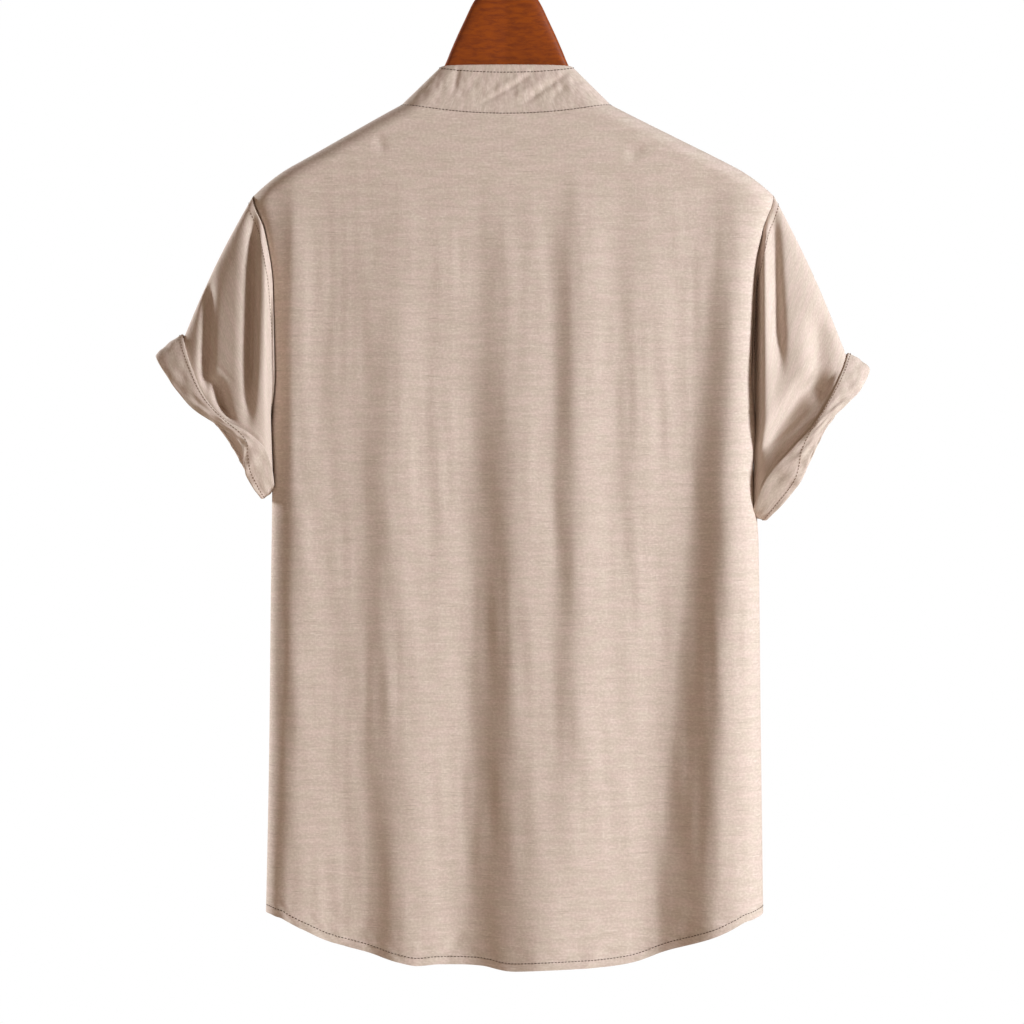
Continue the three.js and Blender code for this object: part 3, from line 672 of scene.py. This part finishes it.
def stitch_row(name, paths, material, pitch=STITCH_PITCH, length=STITCH_LENGTH, radius=STITCH_RADIUS):
    """Rows of short stitches, as one piece. Each path is (points, normals) on the cloth's outer face."""
    turn = ring_angles(STITCH_SIDES)
    tubes = []
    for points, normals in paths:
        middle, normal = resample(points, normals, pitch)
        normal /= np.linalg.norm(normal, axis=1, keepdims=True)
        ahead = np.gradient(middle, axis=0)
        ahead -= normal * np.sum(ahead * normal, axis=1, keepdims=True)
        ahead /= np.linalg.norm(ahead, axis=1, keepdims=True)
        beside = np.cross(ahead, normal)
        rings = []
        for station, fullness in STITCH_STATIONS:
            dip = radius * (0.35 - 0.9 * (1 - fullness))
            centre = middle + ahead * length * station + normal * dip
            for a in turn:
                rings.append(centre + (beside * math.cos(a) + normal * math.sin(a)) * radius * fullness)
        tubes += list(np.stack(rings, axis=1).reshape(len(middle), len(STITCH_STATIONS), STITCH_SIDES, 3))
    piece = make_object(name, *join_tubes(tubes), None, material)
    return piece


# Materials.


def tone(colour):
    """A screen's colour as linear values."""
    screen = [v / 255 for v in colour]
    return tuple(v / 12.92 if v <= 0.04045 else ((v + 0.055) / 1.055) ** 2.4 for v in screen) + (1,)


class Nodes:
    """The nodes of a material or of the world, with short ways to add and join them."""

    def __init__(self, tree):
        self.tree = tree

    def fill(self, node, inputs):
        """Gives a node's inputs a fixed value each, or joins another node's output to them."""
        for name, value in inputs.items():
            if hasattr(value, "node"):
                self.tree.links.new(value, node.inputs[name])
            else:
                node.inputs[name].default_value = value

    def add(self, kind, inputs, **settings):
        node = self.tree.nodes.new("ShaderNode" + kind)
        for name, value in settings.items():
            setattr(node, name, value)
        self.fill(node, inputs)
        return node

    def place(self):
        return self.add("TexCoord", {}).outputs["Object"]

    def noise(self, source, scale, detail, seed, roughness=0.5, distortion=0):
        """Noise with a frequency per metre of its own in each direction."""
        moved = self.add("Mapping", {"Vector": source, "Scale": scale, "Location": (seed, seed * 1.7, 0)})
        inputs = {"Scale": 1, "Detail": detail, "Roughness": roughness, "Distortion": distortion}
        return self.add("TexNoise", {"Vector": moved.outputs["Vector"], **inputs}).outputs["Fac"]

    def ramp(self, source, start, end):
        """A soft ramp from one (place, value) to another."""
        inputs = {"From Min": start[0], "To Min": start[1], "From Max": end[0], "To Max": end[1]}
        node = self.add("MapRange", {"Value": source, **inputs}, interpolation_type="SMOOTHSTEP")
        return node.outputs["Result"]

    def maths(self, operation, first, second):
        return self.add("Math", {0: first, 1: second}, operation=operation).outputs["Value"]

    def blend(self, factor, first, second):
        inputs = {"Factor": factor, "A": first, "B": second}
        return self.add("Mix", inputs, data_type="RGBA").outputs["Result"]

    def tones(self, factor, kind):
        """A mix of the dark and the light colour of a kind of thing."""
        return self.blend(factor, *map(tone, COLOURS[kind]))

    def bump(self, height, strength, distance):
        inputs = {"Height": height, "Strength": strength, "Distance": distance * MM}
        return self.add("Bump", inputs).outputs["Normal"]

    def shade(self, inputs):
        self.fill(self.tree.nodes["Principled BSDF"], inputs)


def new_material(name):
    material = bpy.data.materials.new(name)
    material.use_nodes = True
    return material, Nodes(material.node_tree)


def linen_material():
    """Slub weave: long light and dark weft slubs, fewer warp ones, fine threads and a soft mottling."""
    material, nodes = new_material("linen")
    grain = nodes.add("UVMap", {}, uv_map="grain").outputs["UV"]
    weft = nodes.noise(grain, (75, 1150, 1), 2, 3.1)
    weft_dark = nodes.noise(grain, (60, 1100, 1), 2, 8.7)
    warp = nodes.noise(grain, (1100, 60, 1), 2, 5.3)
    threads = nodes.noise(grain, (430, 520, 1), 1, 1.9)
    bands = nodes.noise(grain, (27, 205, 1), 2, 12.4)
    mottle = nodes.noise(grain, (60, 110, 1), 2, 7.7)
    dark, light = COLOURS["slub"]
    colour = tone(LINEN_WARM)
    for source, start, end, over in (
        (mottle, (0.36, 0), (0.64, 0.7), LINEN_COOL),
        (bands, (0.4, 0.24), (0.6, 0), dark),
        (weft, (0.6, 0), (0.72, 0.7), light),
        (warp, (0.62, 0), (0.78, 0.45), light),
        (threads, (0.3, 0.3), (0.6, 0), dark),
        (threads, (0.5, 0), (0.75, 0.3), light),
        (weft_dark, (0.62, 0), (0.72, 0.8), dark),
    ):
        colour = nodes.blend(nodes.ramp(source, start, end), colour, tone(over))
    relief = nodes.maths("ADD", nodes.maths("MULTIPLY", weft, 0.9), threads)
    relief = nodes.maths("ADD", relief, nodes.maths("MULTIPLY", warp, 0.6))
    nodes.shade({
        "Base Color": colour,
        "Normal": nodes.bump(relief, 0.3, 0.25),
        "Roughness": 0.95,
        "Specular IOR Level": 0.15,
        "Sheen Weight": 0.1,
        "Sheen Roughness": 0.45,
    })
    return material


def thread_material(name, kind):
    material, nodes = new_material(name)
    twist = nodes.noise(nodes.place(), (900, 900, 1), 2, 2.2)
    nodes.shade({"Base Color": nodes.tones(twist, kind), "Roughness": 0.7})
    return material


def wood_material():
    """Reddish brown varnished wood with its grain along the arms."""
    material, nodes = new_material("varnished_wood")
    grain = nodes.noise(nodes.place(), (80, 300, 280), 6, 0, roughness=0.6, distortion=0.5)
    nodes.shade({
        "Base Color": nodes.tones(nodes.ramp(grain, (0.3, 0), (0.7, 1)), "wood"),
        "Normal": nodes.bump(grain, 0.15, 0.2),
        "Roughness": nodes.ramp(grain, (0.2, 0.42), (0.8, 0.3)),
        "Coat Weight": 0.15,
        "Coat Roughness": 0.2,
    })
    return material


def steel_material():
    material, nodes = new_material("polished_steel")
    wear = nodes.noise(nodes.place(), (300, 300, 1), 4, 4.4)
    nodes.shade({
        "Base Color": nodes.tones(wear, "steel"),
        "Roughness": nodes.ramp(wear, (0.3, 0.14), (0.7, 0.3)),
        "Metallic": 1,
    })
    return material


def button_material():
    material, nodes = new_material("horn_button")
    cloud = nodes.noise(nodes.place(), (260, 260, 1), 4, 6.1)
    nodes.shade({
        "Base Color": nodes.tones(nodes.ramp(cloud, (0.3, 0), (0.7, 1)), "horn"),
        "Roughness": nodes.ramp(cloud, (0.2, 0.25), (0.8, 0.4)),
    })
    return material


LINEN = linen_material()
THREAD = thread_material("thread_brown", "brown thread")
SLEEVE_THREAD = thread_material("thread_beige", "beige thread")
WOOD = wood_material()
STEEL = steel_material()
HORN = button_material()


def finish_cloth(node, with_pieces):
    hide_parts(node)


# The body.


def hem_path(face, shares):
    """The line of stitches above the hem of a panel."""
    z = hem_z(face, shares) + HEM_STITCHES
    points = body_surface(face, shares, z)
    up = body_surface(face, shares, z + 1)
    normals = np.cross(np.gradient(points, axis=0), up - points)
    normals /= np.linalg.norm(normals, axis=1, keepdims=True)
    if normals[len(normals) // 2][1] * face < 0:
        normals = -normals
    return points, normals


def panel(name, node, face, grid):
    """One panel of the body, and the stitches along its hem."""
    piece = shell(name + "_cloth", grid, CLOTH, grid[..., [0, 2]], face)
    path = hem_path(face, np.linspace(*HEM_SPANS[name]))
    stitches = stitch_row(name.split("_")[0] + "_hem_stitches", [path], THREAD)
    finish_cloth(node, [stitches])


def back_panel():
    half = shares_to_side(0, BACK_COLUMNS)
    panel("back", "back_panel", -1, panel_grid(-1, np.concatenate([-half[:0:-1], half])))


def left_front():
    shares = shares_to_side((PLACKET_HALF + SEAM_GAP) / TIP_HALF, LEFT_COLUMNS)
    panel("left_front", "front_left", 1, panel_grid(1, -shares))


def right_front():
    """The right front, sunk in where it runs under the placket."""
    grid = panel_grid(1, shares_to_side(-UNDERLAP / TIP_HALF, RIGHT_COLUMNS))
    from_middle = grid[..., 0] - sway_at(grid[..., 2])
    grid[..., 1] -= UNDERLAP_SINK * (1 - smooth(PLACKET_HALF + 7, PLACKET_HALF + 24, from_middle))
    panel("right_front", "front_right", 1, grid)


def placket():
    shares = np.linspace(-PLACKET_HALF, PLACKET_HALF, PLACKET_COLUMNS) / TIP_HALF
    grid = panel_grid(1, shares)
    across = np.abs(shares * TIP_HALF) / PLACKET_HALF
    grid[..., 1] += PLACKET_PROUD - PLACKET_GROOVE * np.exp(-(((across - PLACKET_GROOVE_AT) / 0.06) ** 2))
    fullness = np.sqrt(np.clip(1 - ((across - 0.93) / 0.09).clip(0) ** 2, 0.15, 1))
    piece = shell("placket_cloth", grid, PLACKET_WALL, grid[..., [0, 2]], fullness=fullness)
    normals, _ = grid_normals(grid, False, 1)
    rows = stitch_row("placket_stitches", [(grid[:, i], normals[:, i]) for i in (3, -4)], THREAD)
    holes = [buttonhole(FIRST_BUTTON_Z - i * BUTTON_PITCH) for i in range(BUTTON_COUNT)]
    hole_rows = stitch_row("buttonholes", holes, THREAD, **BUTTONHOLE_STITCH)
    finish_cloth("placket", [rows, hole_rows])


def placket_point(x, z):
    p = body_surface(1, x / TIP_HALF, z)
    p[..., 1] += PLACKET_PROUD
    return p


def buttonhole(z):
    """A narrow upright oval of close stitches round a button's slit."""
    turn = np.linspace(0, 2 * math.pi, 60)
    x, up = BUTTONHOLE_HALF[0] * np.cos(turn), BUTTONHOLE_HALF[1] * np.sin(turn)
    points = placket_point(x, z + up)
    return points, np.broadcast_to([0.0, 1.0, 0.0], points.shape)


# The collar.


def neck_reach(angle):
    power = np.where(np.cos(angle) > 0, 1, 4 / 3)
    return np.abs(np.sin(angle)) ** power * NECK_HALF


def neck_seam(angle):
    """The neck seam at angles round the neck: 0 at the centre back, pi at the centre front, -X side first."""
    x = -np.sign(np.sin(angle)) * neck_reach(angle)
    points = np.empty((len(angle), 3))
    for face in (-1, 1):
        chosen = (np.cos(angle) > 0) == (face < 0)
        part = x[chosen]
        points[chosen] = body_surface(face, part / TIP_HALF, top_z(face, part), detail=False)
    return points


def collar_top(angle):
    turn = np.cos(angle)
    x = sway_at(np.array(COLLAR_TOP_Z)) - COLLAR_TOP_HALF * np.sin(angle)
    round_the_neck = np.abs(turn) ** COLLAR_SQUARENESS
    depth = depth_at(np.array(COLLAR_TOP_Z))
    y = np.where(turn > 0, -(depth - COLLAR_BACK_LEAN), depth - 1) * round_the_neck
    z = COLLAR_TOP_Z + COLLAR_FRONT_DROP * np.minimum(0, turn)
    return np.stack([x, y, z], axis=-1)


def collar_grid(angle, up):
    """Points of the collar's outer face, at angles round it and shares of the way up."""
    seam, top = neck_seam(angle), collar_top(angle)
    grid = seam[None] + (top - seam)[None] * up[:, None, None]
    grid[..., 2] -= COLLAR_OVERLAP * (1 - up[:, None])
    lapped = smooth(-math.pi + 2.2 * COLLAR_LAP, -math.pi + COLLAR_LAP, angle)
    grid[..., 1] -= COLLAR_LAP_SINK * lapped[None]
    facing = np.sign(np.cos(angle))[None] * np.ones_like(up)[:, None]
    relief = -creases(COLLAR_CREASES, grid[..., 0], grid[..., 2]) * (facing > 0)
    relief += ripples("collar", grid[..., 0], grid[..., 2]) * np.sin(math.pi * up)[:, None]
    for line in COLLAR_GROOVES_AT:
        relief -= COLLAR_GROOVE * np.exp(-(((up[:, None] - line) / 0.02) ** 2))
    grid[..., 1] -= facing * relief * smooth(0.05, 0.4, np.abs(np.cos(angle)))[None]
    return grid


def edge_fullness(share, edge, least):
    """How full a wall is at shares of the way across it, with round edges."""
    away = np.minimum(share, 1 - share) / edge
    return np.sqrt(1 - (1 - np.clip(away, least, 1)) ** 2)[:, None]


def flat_uv(across, down):
    """Lengths of cloth at the columns and the rows of a grid."""
    return np.stack(np.broadcast_arrays(across[None], down[:, None]), axis=-1)


def collar_stitch_path(share_at):
    """Points and outward directions round the collar, at a share of the way up for each angle."""
    points = np.array([
        collar_grid(np.array([a]), np.array([share_at(a)]))[0, 0]
        for a in np.linspace(-math.pi + 0.3, math.pi + 0.2, 300)
    ])
    outward = (points - points.mean(axis=0)) * [0.1, 1, 0]
    return points, outward / np.linalg.norm(outward, axis=1, keepdims=True)


def collar_band():
    reach = math.pi + COLLAR_LAP
    angle = np.sort(np.concatenate([np.linspace(-reach, reach, COLLAR_COLUMNS), [-math.pi / 2, math.pi / 2]]))
    edge = np.linspace(0, 1, 6) ** 2 * COLLAR_EDGE
    inside = np.linspace(COLLAR_EDGE, 1 - COLLAR_EDGE, COLLAR_ROWS)[1:-1]
    up = np.concatenate([edge, inside, 1 - edge[::-1]])[::-1]
    grid = collar_grid(angle, up)
    middle = grid[len(up) // 2]
    length = np.cumsum(np.linalg.norm(np.diff(middle, axis=0, prepend=middle[:1]), axis=1))
    uv = flat_uv(length, COLLAR_UP * up)[..., ::-1]
    fullness = edge_fullness(up, COLLAR_EDGE, 0.02)
    piece = shell("collar_cloth", grid, COLLAR_WALL, uv, -1, fullness=fullness)
    seam = collar_stitch_path(lambda a: COLLAR_SEAM_STITCHES)
    top = collar_stitch_path(lambda a: COLLAR_TOP_STITCHES - 0.125 * max(0, math.cos(a)))
    finish_cloth("collar_band", [stitch_row("collar_stitches", [seam, top], THREAD)])


# Sleeves and cuffs.


def between(a, b, c, d, t):
    """A smooth curve from b to c, with a before them and d after."""
    return 0.5 * (2 * b + (c - a) * t + (2 * a - 5 * b + 4 * c - d) * t**2 + (3 * b - a - 3 * c + d) * t**3)


def round_loop(points, angle):
    """A smooth closed curve through evenly spaced points, at angles round it."""
    points = np.array(points, float)
    place = angle / (2 * math.pi) * len(points)
    k = np.floor(place).astype(int)
    return between(*(points[(k + step) % len(points)] for step in (-1, 0, 1, 2)), (place - k)[..., None])


def cuff_ring(edge, angle, inset=0.0):
    """A cuff's edge. Its foot lies behind the body's side, and an inset moves it in towards its middle."""
    outline = round_loop(edge, angle)
    low = (1 - np.cos(angle)) / 2
    swing = np.sign(np.sin(angle)) * np.abs(np.sin(angle)) ** CUFF_SQUARENESS
    y = -np.where(swing > 0, CUFF_BACK_DEPTH, CUFF_FRONT_DEPTH) * swing - CUFF_FOOT_BACK * low**2
    points = np.stack([outline[..., 0], y, outline[..., 1]], axis=-1)
    middle = np.array([np.mean([q[0] for q in edge]), 0, np.mean([q[1] for q in edge])])
    inward = middle - points
    inward /= np.linalg.norm(inward, axis=-1, keepdims=True)
    return points + inward * inset


def armhole_ring(side, angle):
    z = ARMHOLE_MIDDLE + ARMHOLE_REACH * np.cos(angle)
    x = side * (half_at(z) + SEAM_GAP) + sway_at(z)
    return np.stack([x, -ARMHOLE_DEPTH * np.sin(angle), z], axis=-1)


def sleeve_fold_in(folds, x, z):
    total = np.zeros_like(x)
    for f in folds:
        down = np.clip((f["start"] - z) / (f["start"] - f["end"]), 0, 1)
        fade = 1 - smooth(mix(f["full"], f["end"], 0.6), f["end"], z)
        deep = f["deep"] * smooth(f["start"], f["full"], z) * fade
        total += deep * bell(x - mix(f["x"], f["foot"], down), f["left"], f["right"])
    return total


def sleeve_surface(sleeve, angle, t):
    """Points of a sleeve's outer face, from the armhole to inside the cuff."""
    inset = CUFF_WALL + SEAM_GAP + SLEEVE_TO_CUFF
    angle, t = np.broadcast_arrays(angle, t)
    start = armhole_ring(sleeve["side"], angle)
    free = cuff_ring(sleeve["free"], angle, inset)
    turned = cuff_ring(sleeve["turned"], angle, inset)
    share = np.clip(t / SLEEVE_INSIDE_CUFF, 0, 1)
    within = np.clip((t - SLEEVE_INSIDE_CUFF) / (1 - SLEEVE_INSIDE_CUFF), 0, 1) * 0.6
    points = start + (free - start) * share[..., None]
    fill = mix(sleeve["fill"], sleeve["foot_fill"], (1 - np.cos(angle)) / 2)
    points[..., 1] = mix(start[..., 1], free[..., 1], share**fill)
    points += (turned - free) * within[..., None]
    bulge = SLEEVE_BULGE * np.sin(math.pi * share)
    points[..., 0] += sleeve["side"] * bulge * np.maximum(0, np.cos(angle))
    ends = smooth(0, 0.05, share) * (1 - smooth(0.95, 1, share))
    x, z = points[..., 0], points[..., 2]
    sunk = sleeve_fold_in(sleeve["folds"], x, z) * np.abs(np.sin(angle)) ** 0.6 * ends
    sunk = sunk + creases(sleeve["creases"], x, z) * (points[..., 1] < 0) * ends
    slack = ripples("sleeve slack", x, z) * np.abs(np.sin(angle)) * ends
    points[..., 1] += np.sign(np.sin(angle)) * (sunk + slack)
    return points


def sleeve_tube(sleeve):
    angle = ring_angles(SLEEVE_SIDES)
    t = np.concatenate([np.linspace(0, 0.08, SLEEVE_HEAD_ROWS)[:-1], np.linspace(0.08, 1, SLEEVE_ROWS)])
    grid = sleeve_surface(sleeve, angle[None], t[:, None])
    uv = flat_uv(np.linspace(0, SLEEVE_AROUND, len(angle) + 1), -SLEEVE_LONG * t)
    piece = shell("sleeve_%s_cloth" % sleeve["name"], grid, CLOTH, uv, closed=True)
    normals, _ = grid_normals(grid, True, 1)
    path = grid[ARMHOLE_STITCH_ROW], normals[ARMHOLE_STITCH_ROW]
    stitches = stitch_row("armhole_%s_stitches" % sleeve["name"], [path], SLEEVE_THREAD)
    finish_cloth("sleeve_" + sleeve["name"], [stitches])


def cuff_surface(sleeve, angle, t):
    angle, t = np.broadcast_arrays(angle, t)
    free = cuff_ring(sleeve["free"], angle)
    turned = cuff_ring(sleeve["turned"], angle)
    points = free + (turned - free) * t[..., None]
    swell = CUFF_SWELL * np.sin(math.pi * t) ** 0.8
    swell = swell + ripples("cuff", 60 * angle, CUFF_LONG * t) * (0.3 + 0.7 * t)
    outward = points - points.mean(axis=1, keepdims=True)
    outward /= np.linalg.norm(outward, axis=-1, keepdims=True)
    return points + outward * swell[..., None]


def cuff_stitch_share(angle):
    """How far across a cuff its stitches run. They cross to the turned edge where the cuff twists."""
    down = smooth(1.4, 2.6, angle) * (1 - smooth(3.7, 5.2, angle))
    return mix(0.1, 0.8, down)


def cuff_band(sleeve):
    angle = ring_angles(SLEEVE_SIDES)
    edge = np.array([0, 0.008, 0.025, CUFF_EDGE])
    t = np.concatenate([edge, np.linspace(0.08, 0.92, CUFF_ROWS), 1 - edge[::-1]])
    grid = cuff_surface(sleeve, angle[None], t[:, None])
    uv = flat_uv(np.linspace(0, SLEEVE_AROUND, len(angle) + 1), -CUFF_LONG * t)
    fullness = edge_fullness(t, CUFF_EDGE, 0.03)
    piece = shell("cuff_%s_cloth" % sleeve["name"], grid, CUFF_WALL, uv, closed=True, fullness=fullness)
    normals, _ = grid_normals(grid, True, 1)
    across = np.arange(len(angle))
    place = np.interp(cuff_stitch_share(angle), t, np.arange(len(t)))
    row = np.floor(place).astype(int)
    path = [mix(v[row, across], v[row + 1, across], (place - row)[:, None]) for v in (grid, normals)]
    stitches = stitch_row("cuff_%s_stitches" % sleeve["name"], [path], SLEEVE_THREAD)
    finish_cloth("cuff_" + sleeve["name"], [stitches])


# Buttons.


def lathe_rings(profile, sides, centre, axis_y=True):
    """Rings of a turned shape. The profile is (radius, height), and the height runs along +Y or +Z."""
    turn = ring_angles(sides)
    rings = []
    for radius, height in profile:
        a, b = radius * np.cos(turn), radius * np.sin(turn)
        up = np.full(sides, float(height))
        rings.append(np.stack([a, up, -b] if axis_y else [a, b, up], axis=-1) + centre)
    return np.array(rings)


def button(mark, seat):
    """A four-hole button: a rimmed disc with dished middle, its holes, and the thread through them."""
    r, h = BUTTON_RADIUS, BUTTON_THICK
    seat = seat + [0, SEAM_GAP, 0]
    profile = [
        (0.01, 0.1), (r - 0.6, 0.1), (r - 0.15, 0.4), (r, 0.9), (r, h - 0.8), (r - 0.2, h - 0.25),
        (r - 0.6, h), (r - 1.0, h - 0.05), (r - 1.5, h - 0.5), (r - 2.1, h - 0.75), (0.01, h - 0.8),
    ]
    name = "horn_button_" + mark
    piece = loft(name, lathe_rings(profile, TURNED_SIDES, seat), HORN)
    drill_holes(piece, seat)
    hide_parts("button_" + mark)
    sew_on(name + "_thread", seat)


def drill_holes(piece, seat):
    """Four holes through a button, cut with one joined drill."""
    pin = [(HOLE_RADIUS, -1), (HOLE_RADIUS, BUTTON_THICK + 1)]
    spots = [(dx, 0, dz) for dx in (-HOLE_SPREAD, HOLE_SPREAD) for dz in (-HOLE_SPREAD, HOLE_SPREAD)]
    vertices, faces = join_tubes([lathe_rings(pin, PIN_SIDES, seat + np.array(spot)) for spot in spots])
    mesh = bpy.data.meshes.new("drill")
    mesh.from_pydata((vertices * MM).tolist(), [], faces)
    drill = bpy.data.objects.new("drill", mesh)
    bpy.context.scene.collection.objects.link(drill)
    cut = piece.modifiers.new("holes", "BOOLEAN")
    cut.object = drill
    cut.operation = "DIFFERENCE"
    cut.solver = "EXACT"
    evaluated = piece.evaluated_get(bpy.context.evaluated_depsgraph_get())
    mesh_cut = bpy.data.meshes.new_from_object(evaluated)
    piece.modifiers.remove(cut)
    piece.data = mesh_cut
    bpy.data.objects.remove(drill)


def sew_on(name, seat):
    """Two upright loops of thread through the holes."""
    turn = np.linspace(0, math.pi, 9)
    up = BUTTON_THICK - 1.1 + 0.9 * np.sin(turn) ** 0.5
    tubes = []
    for dx in (-HOLE_SPREAD, HOLE_SPREAD):
        path = np.stack([np.full(len(turn), dx), up, HOLE_SPREAD * np.cos(turn)], axis=-1) + seat
        tubes.append(tube_rings(path, LOOP_RADIUS, LOOP_SIDES))
    piece = make_object(name, *join_tubes(tubes), None, THREAD)


def all_buttons():
    for i in range(BUTTON_COUNT):
        z = FIRST_BUTTON_Z - i * BUTTON_PITCH
        button(str(i + 1), placket_point(np.array(0.0), np.array(float(z))))
    middle = np.array([math.pi])
    button("collar", (neck_seam(middle)[0] + collar_top(middle)[0]) / 2)


# The hanger.


def hanger_body():
    """The wood, lofted through upright rounded sections from one end to the other."""
    places = np.unique(np.concatenate([np.linspace(0, 196, 90), np.linspace(196, 205, 14)]))
    x = np.concatenate([-places[:0:-1], places])
    top, foot, half = (along(HANGER_SECTIONS, "x", np.abs(x), name) for name in ("top", "foot", "half"))
    turn = ring_angles(WOOD_SIDES)
    out, up = (np.sign(v) * np.abs(v) ** (2 / HANGER_SQUARENESS) for v in (np.sin(turn), np.cos(turn)))
    z = (top + foot)[:, None] / 2 + (top - foot)[:, None] / 2 * up
    rings = np.stack([(x + sway_at(top))[:, None] + 0 * z, half[:, None] * out, z], axis=-1)
    piece = loft("hanger_body", rings, WOOD)
    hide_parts("hanger_wood")


def smooth_path(points, steps):
    """A smooth path through points."""
    points = np.array(points, float)
    padded = np.concatenate([[2 * points[0] - points[1]], points, [2 * points[-1] - points[-2]]])
    t = np.linspace(0, 1, steps, endpoint=False)[:, None]
    return np.concatenate([between(*padded[k : k + 4], t) for k in range(len(points) - 1)] + [points[-1:]])


def hanger_hook():
    """The wire, and the cup where it leaves the wood."""
    radius = HOOK_INNER + HOOK_WIRE
    stem_x = float(sway_at(np.array(HANGER_SECTIONS[0]["top"])))
    stem_z = HANGER_SECTIONS[0]["top"] + SEAM_GAP
    points = [(stem_x, 0, stem_z), (stem_x, 0, stem_z + 8), (1.5, 0, -HOOK_INNER - radius - 6)]
    for a in np.linspace(-0.33 * math.pi, 1.12 * math.pi, 15):
        points.append((radius * math.cos(a), 0, -HOOK_INNER + radius * math.sin(a)))
    path = smooth_path(points, 6)
    rings = tube_rings(path, HOOK_WIRE, HOOK_SIDES)
    tip = path[-1] + (path[-1] - path[-2]) / np.linalg.norm(path[-1] - path[-2]) * 0.9
    rings = np.concatenate([rings, [tip + (rings[-1] - path[-1]) * 0.55]])
    bore = HOOK_WIRE + SEAM_GAP
    profile = [(bore, 0), *FERRULE_LOW, (bore, FERRULE_LOW[-1][1]), (bore, 0)]
    cup_rings = lathe_rings(profile, TURNED_SIDES, np.array([stem_x, 0, stem_z]), axis_y=False)
    wire = loft("hook_wire", rings, STEEL)
    cup = loft("ferrule_cup", cup_rings, STEEL, capped=False)
    for piece, node in ((wire, "hanger_hook"), (cup, "hanger_ferrule")):
        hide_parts(node)


# The studio.


def area_light(name, place, size, power, colour):
    light = bpy.data.lights.new(name, "AREA")
    light.shape = "DISK"
    light.size = size
    light.energy = power
    light.color = colour
    lamp = bpy.data.objects.new(name, light)
    lamp.location = place
    way = np.array(LIT_MIDDLE, float) - np.array(place, float)
    yaw = math.atan2(way[1], way[0]) - math.pi / 2
    pitch = math.atan2(way[2], math.hypot(way[0], way[1]))
    lamp.rotation_euler = (math.pi / 2 + pitch, 0, yaw)
    bpy.context.scene.collection.objects.link(lamp)


def room_light(scene):
    """A white room that lights the shirt only a little, and warmly."""
    world = bpy.data.worlds.new("studio")
    world.use_nodes = True
    nodes = Nodes(world.node_tree)
    seen = nodes.add("LightPath", {}).outputs["Is Camera Ray"]
    strength = nodes.add("MapRange", {"Value": seen, "To Min": ROOM_STRENGTH, "To Max": 1}).outputs["Result"]
    room = nodes.blend(seen, (*WARM_SHADE, 1), (1, 1, 1, 1))
    nodes.fill(world.node_tree.nodes["Background"], {"Strength": strength, "Color": room})
    scene.world = world


def pale_floor(scene):
    mesh = bpy.data.meshes.new("floor")
    corners = [(-1, -1), (1, -1), (1, 1), (-1, 1)]
    reach = FLOOR_REACH * MM
    mesh.from_pydata([(x * reach, y * reach, FLOOR_Z * MM) for x, y in corners], [], [(0, 1, 2, 3)])
    floor = bpy.data.objects.new("floor", mesh)
    scene.collection.objects.link(floor)
    material, nodes = new_material("pale_floor")
    nodes.shade({"Base Color": FLOOR_COLOUR, "Roughness": 0.9})
    mesh.materials.append(material)


def photo_camera(scene):
    camera = bpy.data.cameras.new("camera")
    camera.lens = LENS
    camera.sensor_width = SENSOR
    eye = bpy.data.objects.new("camera", camera)
    distance = VIEW_WIDTH * LENS / SENSOR
    eye.location = (VIEW_CENTRE[0] * MM, -distance * MM, VIEW_CENTRE[1] * MM)
    eye.rotation_euler = (math.pi / 2, 0, 0)
    scene.collection.objects.link(eye)
    scene.camera = eye


def studio():
    scene = bpy.context.scene
    scene.view_settings.view_transform = "Standard"
    room_light(scene)
    for light in LIGHTS:
        area_light(**light)
    pale_floor(scene)
    photo_camera(scene)


back_panel()
left_front()
right_front()
placket()
collar_band()
for one_sleeve in SLEEVES:
    sleeve_tube(one_sleeve)
    cuff_band(one_sleeve)
all_buttons()
hanger_body()
hanger_hook()
studio()
